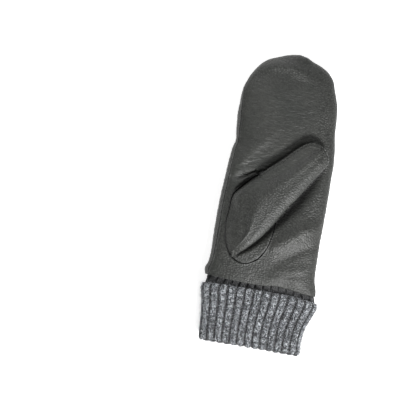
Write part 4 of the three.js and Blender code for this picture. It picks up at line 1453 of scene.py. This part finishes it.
class LeatherLook(bpy.types.PropertyGroup):
    """Sizes and colours of the leather."""

    seam_depth: length("Seam depth", "How deep the groove along a seam is", 0.7)
    seam_roll: length("Seam roll", "How far the turned-in edges stand up beside it", 0.08)
    pucker_pitch: length("Stitch pitch", "Distance between two puckers along a seam", 3.4)
    wrinkle_height: length("Wrinkle height", "Height of the short wrinkles across the hand", 0.2)
    pebble_height: length("Pebble height", "Height of the coarse pebbles where the palm is rubbed", 0.15)
    grain_size: length("Grain size", "Distance between two pebbles of the grain", 1.45)
    grain_depth: length("Grain depth", "How deep the grain is", 0.55)
    roughness: amount("Roughness", "Roughness of the leather's finish", 0.53, low=0.1, max=1.0)
    green_tone: colour("Green tone", "The leather where the dye is greener", "#262825")
    grey_tone: colour("Grey tone", "The leather where the dye is greyer", "#2c2d2a")
    # Painted shade: the near-black that the seams and the leather beside the thumb are drawn in
    painted_shade_tone: colour("Painted shade tone", "The leather in seams and under the thumb", "#060606")


class KnitLook(bpy.types.PropertyGroup):
    """Sizes and colours of the knitted cuff."""

    course: length("Course height", "Distance between two rows of stitches", 1.95)
    wales: bpy.props.IntProperty(
        name="Wales", description="Columns of stitches on each rib", default=3, min=1, max=6,
    )
    yarn: amount("Yarn radius", "Its share of a wale's width", 0.24, low=0.05, max=0.5)
    fibre: length("Fibre length", "Length of the loose fibres", 3.0)
    fibres: amount("Fibres", "Loose fibres on a square metre of knit", 620000.0)
    dark_strand: colour("Dark strand", "The yarn's near-black strand", "#121417")
    mid_strand: colour("Middle strand", "The yarn's blue-grey strand", "#2b2e33")
    pale_strand: colour("Pale strand", "The yarn's pale grey strand", "#565b61")
    white_strand: colour("White strand", "The yarn's off-white strand", "#bec2c6")
    # Painted shade: the tone the yarn is drawn towards where it lies in shade, in the grooves and below
    # the hem
    knit_painted_shade_tone: colour("Knit painted shade tone", "The shaded yarn down in the grooves", "#0c0d0f")


class StageLook(bpy.types.PropertyGroup):
    """The floor and the light."""

    floor_tone: colour("Floor", "Colour of the floor's paper", "#f4f4f4")
    fibre_tone: colour("Floor fibres", "Colour of the paler fibres in the floor's paper", "#f8f8f7")
    key: amount("Key light", "Power of the main light", 34.0, unit="POWER")
    fill: amount("Fill light", "Power of the light opposite", 8.0, unit="POWER")
    sky: amount("Sky", "Strength of the light from all round", 0.28)


def hand_over(piece, material, slot, *replaced):
    """Gives a finished piece its material, its body and what it stands for."""
    if material.name not in piece.data.materials:
        piece.data.materials.clear()
        piece.data.materials.append(material)
    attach(piece, "root")
    for name in replaced:
        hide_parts(name)


def kept_material(name, make, look):
    """The material of this name, made once."""
    return bpy.data.materials.get(name) or make(look)


def mark(piece, name, values):
    """Stores a number at each point of a piece's mesh for its material."""
    layer = piece.data.attributes.new(name, "FLOAT", "POINT")
    layer.data.foreach_set("value", np.asarray(values, np.float32))


def own_points(piece):
    """A piece's mesh points in the mitten's own millimetres."""
    flat = np.empty(len(piece.data.vertices) * 3)
    piece.data.vertices.foreach_get("co", flat)
    return flat.reshape(-1, 3) / MM + ORIGIN


def cut_hole(piece, line):
    """Cuts the hole for the thumb, with the seam's clearance round it."""
    ring = respace(line, 240)[:-1]
    way = np.roll(ring, -1, axis=0) - np.roll(ring, 1, axis=0)
    way /= np.linalg.norm(way, axis=1, keepdims=True)
    ring = ring + SEAM_GAP * np.stack([way[:, 1], -way[:, 0]], axis=1)
    count = len(ring)
    low = np.column_stack([ring, np.full(count, BODY_HEIGHT / 2)])
    high = np.column_stack([ring, np.full(count, 1.5 * BODY_HEIGHT)])
    sides = [[k, (k + 1) % count, count + (k + 1) % count, count + k] for k in range(count)]
    caps = [list(range(count))[::-1], list(range(count, 2 * count))]
    tool = mesh_object("hole_tool", np.concatenate([low, high]), sides + caps)
    modifier = piece.modifiers.new("hole", "BOOLEAN")
    modifier.operation = "DIFFERENCE"
    modifier.solver = "MANIFOLD"
    modifier.object = tool
    evaluated = piece.evaluated_get(bpy.context.evaluated_depsgraph_get())
    mesh = bpy.data.meshes.new_from_object(evaluated)
    piece.modifiers.remove(modifier)
    bpy.data.objects.remove(tool)
    piece.data = mesh
    if len(mesh.polygons) < 1000:
        raise RuntimeError("the hole for the thumb could not be cut")


def hole_line():
    """The seam round the thumb's hole, in plan."""
    skin = thumb_skin()
    return np.concatenate([skin[:TUBE_FROM + 1, -1], skin[TUBE_FROM - 1:0:-1, 0], skin[:1, 0]])[:, :2]


def side_seams():
    """The seams between the two panels, as points from the hem round the fingertips and back."""
    u = np.linspace(0, 1, 150)
    start, end = panel_turns(u, True)
    right, left = body_points(u, start, 0.0, 0.0), body_points(u, end, 0.0, 0.0)
    return hem_warp(np.concatenate([right, left[::-1]]))


# How dark the painted shade in the seams is, and how wide the painted shade beside the hole's seam is
SEAM_PAINTED_SHADE = 0.8
HOLE_PAINTED_SHADE, HOLE_PAINTED_SHADE_WIDTH = 0.95, 0.85
# The painted shade beside the thumb ends this high above the palm, over this height
PAINTED_SHADE_TOP, PAINTED_SHADE_FADE = 5.0, 2.5


def leather_marks(piece, hole, is_above):
    """Marks where a piece wrinkles across the hand, and where painted shade darkens its leather: in the
    seams, and beside the thumb where it is tucked in.
    """
    points = own_points(piece)
    plan = points[:, :2]
    seam = SEAM_PAINTED_SHADE * np.exp(-(nearest(points, side_seams())[0] ** 2)) * blunt(points[:, 1])
    painted_shade = seam
    if is_above:
        up = points[:, 2] - top_height(plan[:, 0], plan[:, 1])
        beside = sum(pressed(plan, shade_line) for shade_line in PAINTED_SHADE_LINES)
        beside = beside + HOLE_PAINTED_SHADE * np.exp(-((nearest(plan, hole)[0] / HOLE_PAINTED_SHADE_WIDTH) ** 2))
        painted_shade = np.maximum(seam, beside * smooth((PAINTED_SHADE_TOP - up) / PAINTED_SHADE_FADE))
    mark(piece, "bends", wrinkled(plan[:, 0], plan[:, 1]))
    mark(piece, "painted_shade", np.clip(painted_shade, 0, 1))


class MITTEN_OT_thumb(bpy.types.Operator):
    """Make the one-piece thumb that is sewn into the palm"""

    bl_idname = "mitten.thumb"
    bl_label = "Thumb"

    def execute(self, context):
        look = context.scene.mitten_leather
        skin = thumb_skin()
        inner, normal = moved_along_normals(skin, LEATHER, STEP)
        outer = skin + normal * thumb_relief(skin, normal, look)[..., None]
        piece = wall_object(
            "thumb_leather", outer, inner, STEP, closed_from=TUBE_FROM, foot=True, tip=True,
        )
        leather_marks(piece, hole_line(), is_above=True)
        hand_over(piece, kept_material("nappa_leather", nappa_leather, look), "leather", "thumb")
        return {"FINISHED"}


class MITTEN_OT_palm(bpy.types.Operator):
    """Make the palm panel, with its folds and the hole for the thumb"""

    bl_idname = "mitten.palm"
    bl_label = "Palm panel"

    def execute(self, context):
        look = context.scene.mitten_leather
        line = hole_line()

        def relief(points, distance, run):
            plan = points[..., :2]
            x, y = plan[..., 0], plan[..., 1]
            near_hole = nearest(plan, line[::2])
            total = seam_relief(distance, run, look) * blunt(y) + seam_relief(*near_hole, look)
            total += handled(x, y, 11)
            total += look.wrinkle_height / MM * wrinkled(x, y) * cross_wrinkles(x, y, 21)
            total += look.pebble_height / MM * pebbled(x, y) * unevenness(x, y, 1.3, 25)
            return total

        piece = panel_object("palm_leather", True, *PALM_GRID, palm_density, folded_down, relief)
        cut_hole(piece, line)
        leather_marks(piece, line, is_above=True)
        hand_over(piece, kept_material("nappa_leather", nappa_leather, look), "leather", "palm_panel")
        return {"FINISHED"}


class MITTEN_OT_back(bpy.types.Operator):
    """Make the back panel, which wraps round the thumb side's edge"""

    bl_idname = "mitten.back"
    bl_label = "Back panel"

    def execute(self, context):
        look = context.scene.mitten_leather

        def relief(points, distance, run):
            x, y = points[..., 0], points[..., 1]
            under = smooth((BODY_HEIGHT / 4 - points[..., 2]) / 4)
            slow = handled(x, y, 41)
            slow = mix(slow, -0.5 * (slow + 0.8), under)
            height = look.wrinkle_height / MM
            across = height * cross_wrinkles(x, y, 51) * window(y, 90, 250, 40)
            slow += np.where(under > 0, np.minimum(across, 0), across)
            return seam_relief(distance, run, look) * blunt(y) + slow

        def even(x, y):
            return 1 + 0 * x

        def level(plan, wider=0.0):
            return 0.0

        piece = panel_object("back_leather", False, *BACK_GRID, even, level, relief)
        leather_marks(piece, hole_line(), is_above=False)
        laid_on_floor(piece)
        hand_over(piece, kept_material("nappa_leather", nappa_leather, look), "leather", "back_panel")
        return {"FINISHED"}


class MITTEN_OT_cuff(bpy.types.Operator):
    """Make the knitted tube of the cuff, with its stitches and loose fibres"""

    bl_idname = "mitten.cuff"
    bl_label = "Cuff"

    def execute(self, context):
        look = context.scene.mitten_knit
        wool = kept_material("marled_wool", marled_wool, look)
        path = cuff_path()
        ground = knit_ground("cuff_knit", path, True)
        wale = (np.arange(look.wales) + 0.5) / look.wales - 0.5
        ribs = (np.arange(RIB_COUNT)[:, None] + 0.5 + WALE_SHARE * wale).ravel()
        to_edge = OUTSIDE_ROWS + EDGE_ROWS
        to_neck = to_edge + BEHIND_ROWS + 1 + HIDDEN_ROWS
        half_fold = FOLD_ROWS // 2
        outside = np.concatenate([path[-half_fold - 1:], path[:to_edge]])
        tube = path[to_neck:to_neck + NECK_ROWS]
        inside = path[-FOLD_ROWS - SHOWN_ROWS:-half_fold]
        course = look.course / MM
        # The last number of each is how much painted shade darkens its yarn: most on the tube below the
        # hem, which lies in the hem's shadow
        parts = (
            ("cuff_stitches", outside, 3, 5, 7, 0.0),
            ("tube_stitches", tube, 3, 4, 8, 0.95),
            ("inside_stitches", inside, 2, 4, 9, 0.3),
        )
        for name, rows, segments, sides, seed, shade in parts:
            base = stitch_points(name + "_places", rows, ribs, course)
            tree = stitch_tree(name, wool, segments, sides)
            piece = made_by(tree, base, name, {"Yarn Radius": look.yarn, "Seed": seed})
            laid_on_floor(piece)
            mark(piece, "groove", np.full(len(piece.data.vertices), shade))
            hand_over(piece, wool, "knit")
        fuzz = made_by(fuzz_tree(wool), knit_ground("fuzz_places", outside, False), "cuff_fuzz", {
            "Fibres per m2": look.fibres, "Length": look.fibre, "Seed": 3,
        })
        laid_on_floor(fuzz)
        mark(fuzz, "marl", np.full(len(fuzz.data.vertices), 0.6))
        hand_over(fuzz, wool, "knit")
        # Painted shade: the ground shows only between the stitches and down in the rib grooves, so its
        # yarn is drawn darker
        mark(ground, "groove", np.full(len(ground.data.vertices), 0.85))
        laid_on_floor(ground)
        hand_over(ground, wool, "knit", "cuff")
        return {"FINISHED"}


class MITTEN_OT_stage(bpy.types.Operator):
    """Make the floor, the lights and the camera"""

    bl_idname = "mitten.stage"
    bl_label = "Stage"

    def execute(self, context):
        look = context.scene.mitten_stage
        scene = context.scene
        paper, tree, shader = new_material("matt_paper")
        spot = node(tree, "ShaderNodeTexNoise", {"Scale": 60.0, "Detail": 3.0})
        shade = node(tree, "ShaderNodeMix", {
            "Factor": spot.outputs["Fac"], 6: look.floor_tone, 7: look.fibre_tone,
        }, data_type="RGBA")
        tree.links.new(shade.outputs[2], shader.inputs["Base Color"])
        shader.inputs["Roughness"].default_value = 0.9
        shader.inputs["Emission Color"].default_value = look.floor_tone
        shader.inputs["Emission Strength"].default_value = FLOOR_GLOW
        mesh = bpy.data.meshes.new("floor")
        signs = ((-1, -1), (1, -1), (1, 1), (-1, 1))
        corners = [(FLOOR_REACH * x, FLOOR_REACH * y, -FLOOR_DROP) for x, y in signs]
        mesh.from_pydata(corners, [], [(0, 1, 2, 3)])
        mesh.materials.append(paper)
        floor = added("floor", mesh)
        world = bpy.data.worlds.new("sky")
        world.use_nodes = True
        background = world.node_tree.nodes["Background"]
        background.inputs["Color"].default_value = (1.0, 1.0, 1.0, 1.0)
        background.inputs["Strength"].default_value = look.sky
        scene.world = world
        for name, power, size, place in (
            ("key_light", look.key, KEY_SIZE, KEY_PLACE),
            ("fill_light", look.fill, FILL_SIZE, FILL_PLACE),
        ):
            lamp = bpy.data.lights.new(name, "AREA")
            lamp.shape = "DISK"
            lamp.size = size
            lamp.energy = power
            holder = added(name, lamp)
            holder.location = place
            holder.rotation_euler = (-holder.location).to_track_quat("-Z", "Y").to_euler()
        lens = bpy.data.cameras.new("camera")
        lens.sensor_width = 36.0
        lens.clip_end = 20.0
        lens.lens = lens.sensor_width * CAMERA_HEIGHT / PHOTO_WIDTH
        camera = added("camera", lens)
        centre = to_frame(np.array([*PHOTO_CENTRE, BODY_HEIGHT / 2]))
        camera.location = (centre[0], centre[1], centre[2] + CAMERA_HEIGHT * MM)
        camera.rotation_euler = (0.0, 0.0, PHOTO_TURN)
        scene.camera = camera
        scene.view_settings.view_transform = "Standard"
        return {"FINISHED"}


# The picture's frame on the floor
PHOTO_CENTRE = (-70.0, 127.6)
PHOTO_TURN = math.radians(9.9)
PHOTO_WIDTH = 380.0
CAMERA_HEIGHT = 2000.0
# The floor, in metres: the drop keeps it clear of the leather's underside
FLOOR_REACH = 3.0
FLOOR_DROP = 0.0003
FLOOR_GLOW = 0.62
# The lamps, in metres: the key stands beyond the cuff and to its right, and the fill opposite
KEY_SIZE, KEY_PLACE = 0.34, (0.55, -0.86, 0.9)
FILL_SIZE, FILL_PLACE = 0.9, (-0.45, 0.95, 0.75)

STEPS = (MITTEN_OT_thumb, MITTEN_OT_palm, MITTEN_OT_back, MITTEN_OT_cuff, MITTEN_OT_stage)


class MITTEN_PT_steps(bpy.types.Panel):
    """The steps that make the mitten"""

    bl_label = "Leather mitten"
    bl_space_type = "VIEW_3D"
    bl_region_type = "UI"
    bl_category = "Mitten"

    def draw(self, context):
        for step in STEPS:
            self.layout.operator(step.bl_idname)
        for look in LOOKS:
            group = getattr(context.scene, look)
            box = self.layout.box()
            for name in group.__annotations__:
                box.prop(group, name)


LOOKS = {"mitten_leather": LeatherLook, "mitten_knit": KnitLook, "mitten_stage": StageLook}


def register():
    for kind in (*LOOKS.values(), *STEPS, MITTEN_PT_steps):
        bpy.utils.register_class(kind)
    for name, kind in LOOKS.items():
        setattr(bpy.types.Scene, name, bpy.props.PointerProperty(type=kind))


def unregister():
    for name in LOOKS:
        delattr(bpy.types.Scene, name)
    for kind in (MITTEN_PT_steps, *STEPS, *LOOKS.values()):
        bpy.utils.unregister_class(kind)


def main():
    register()
    for step in STEPS:
        group, name = step.bl_idname.split(".")
        getattr(getattr(bpy.ops, group), name)()


if __name__ == "__main__":
    main()
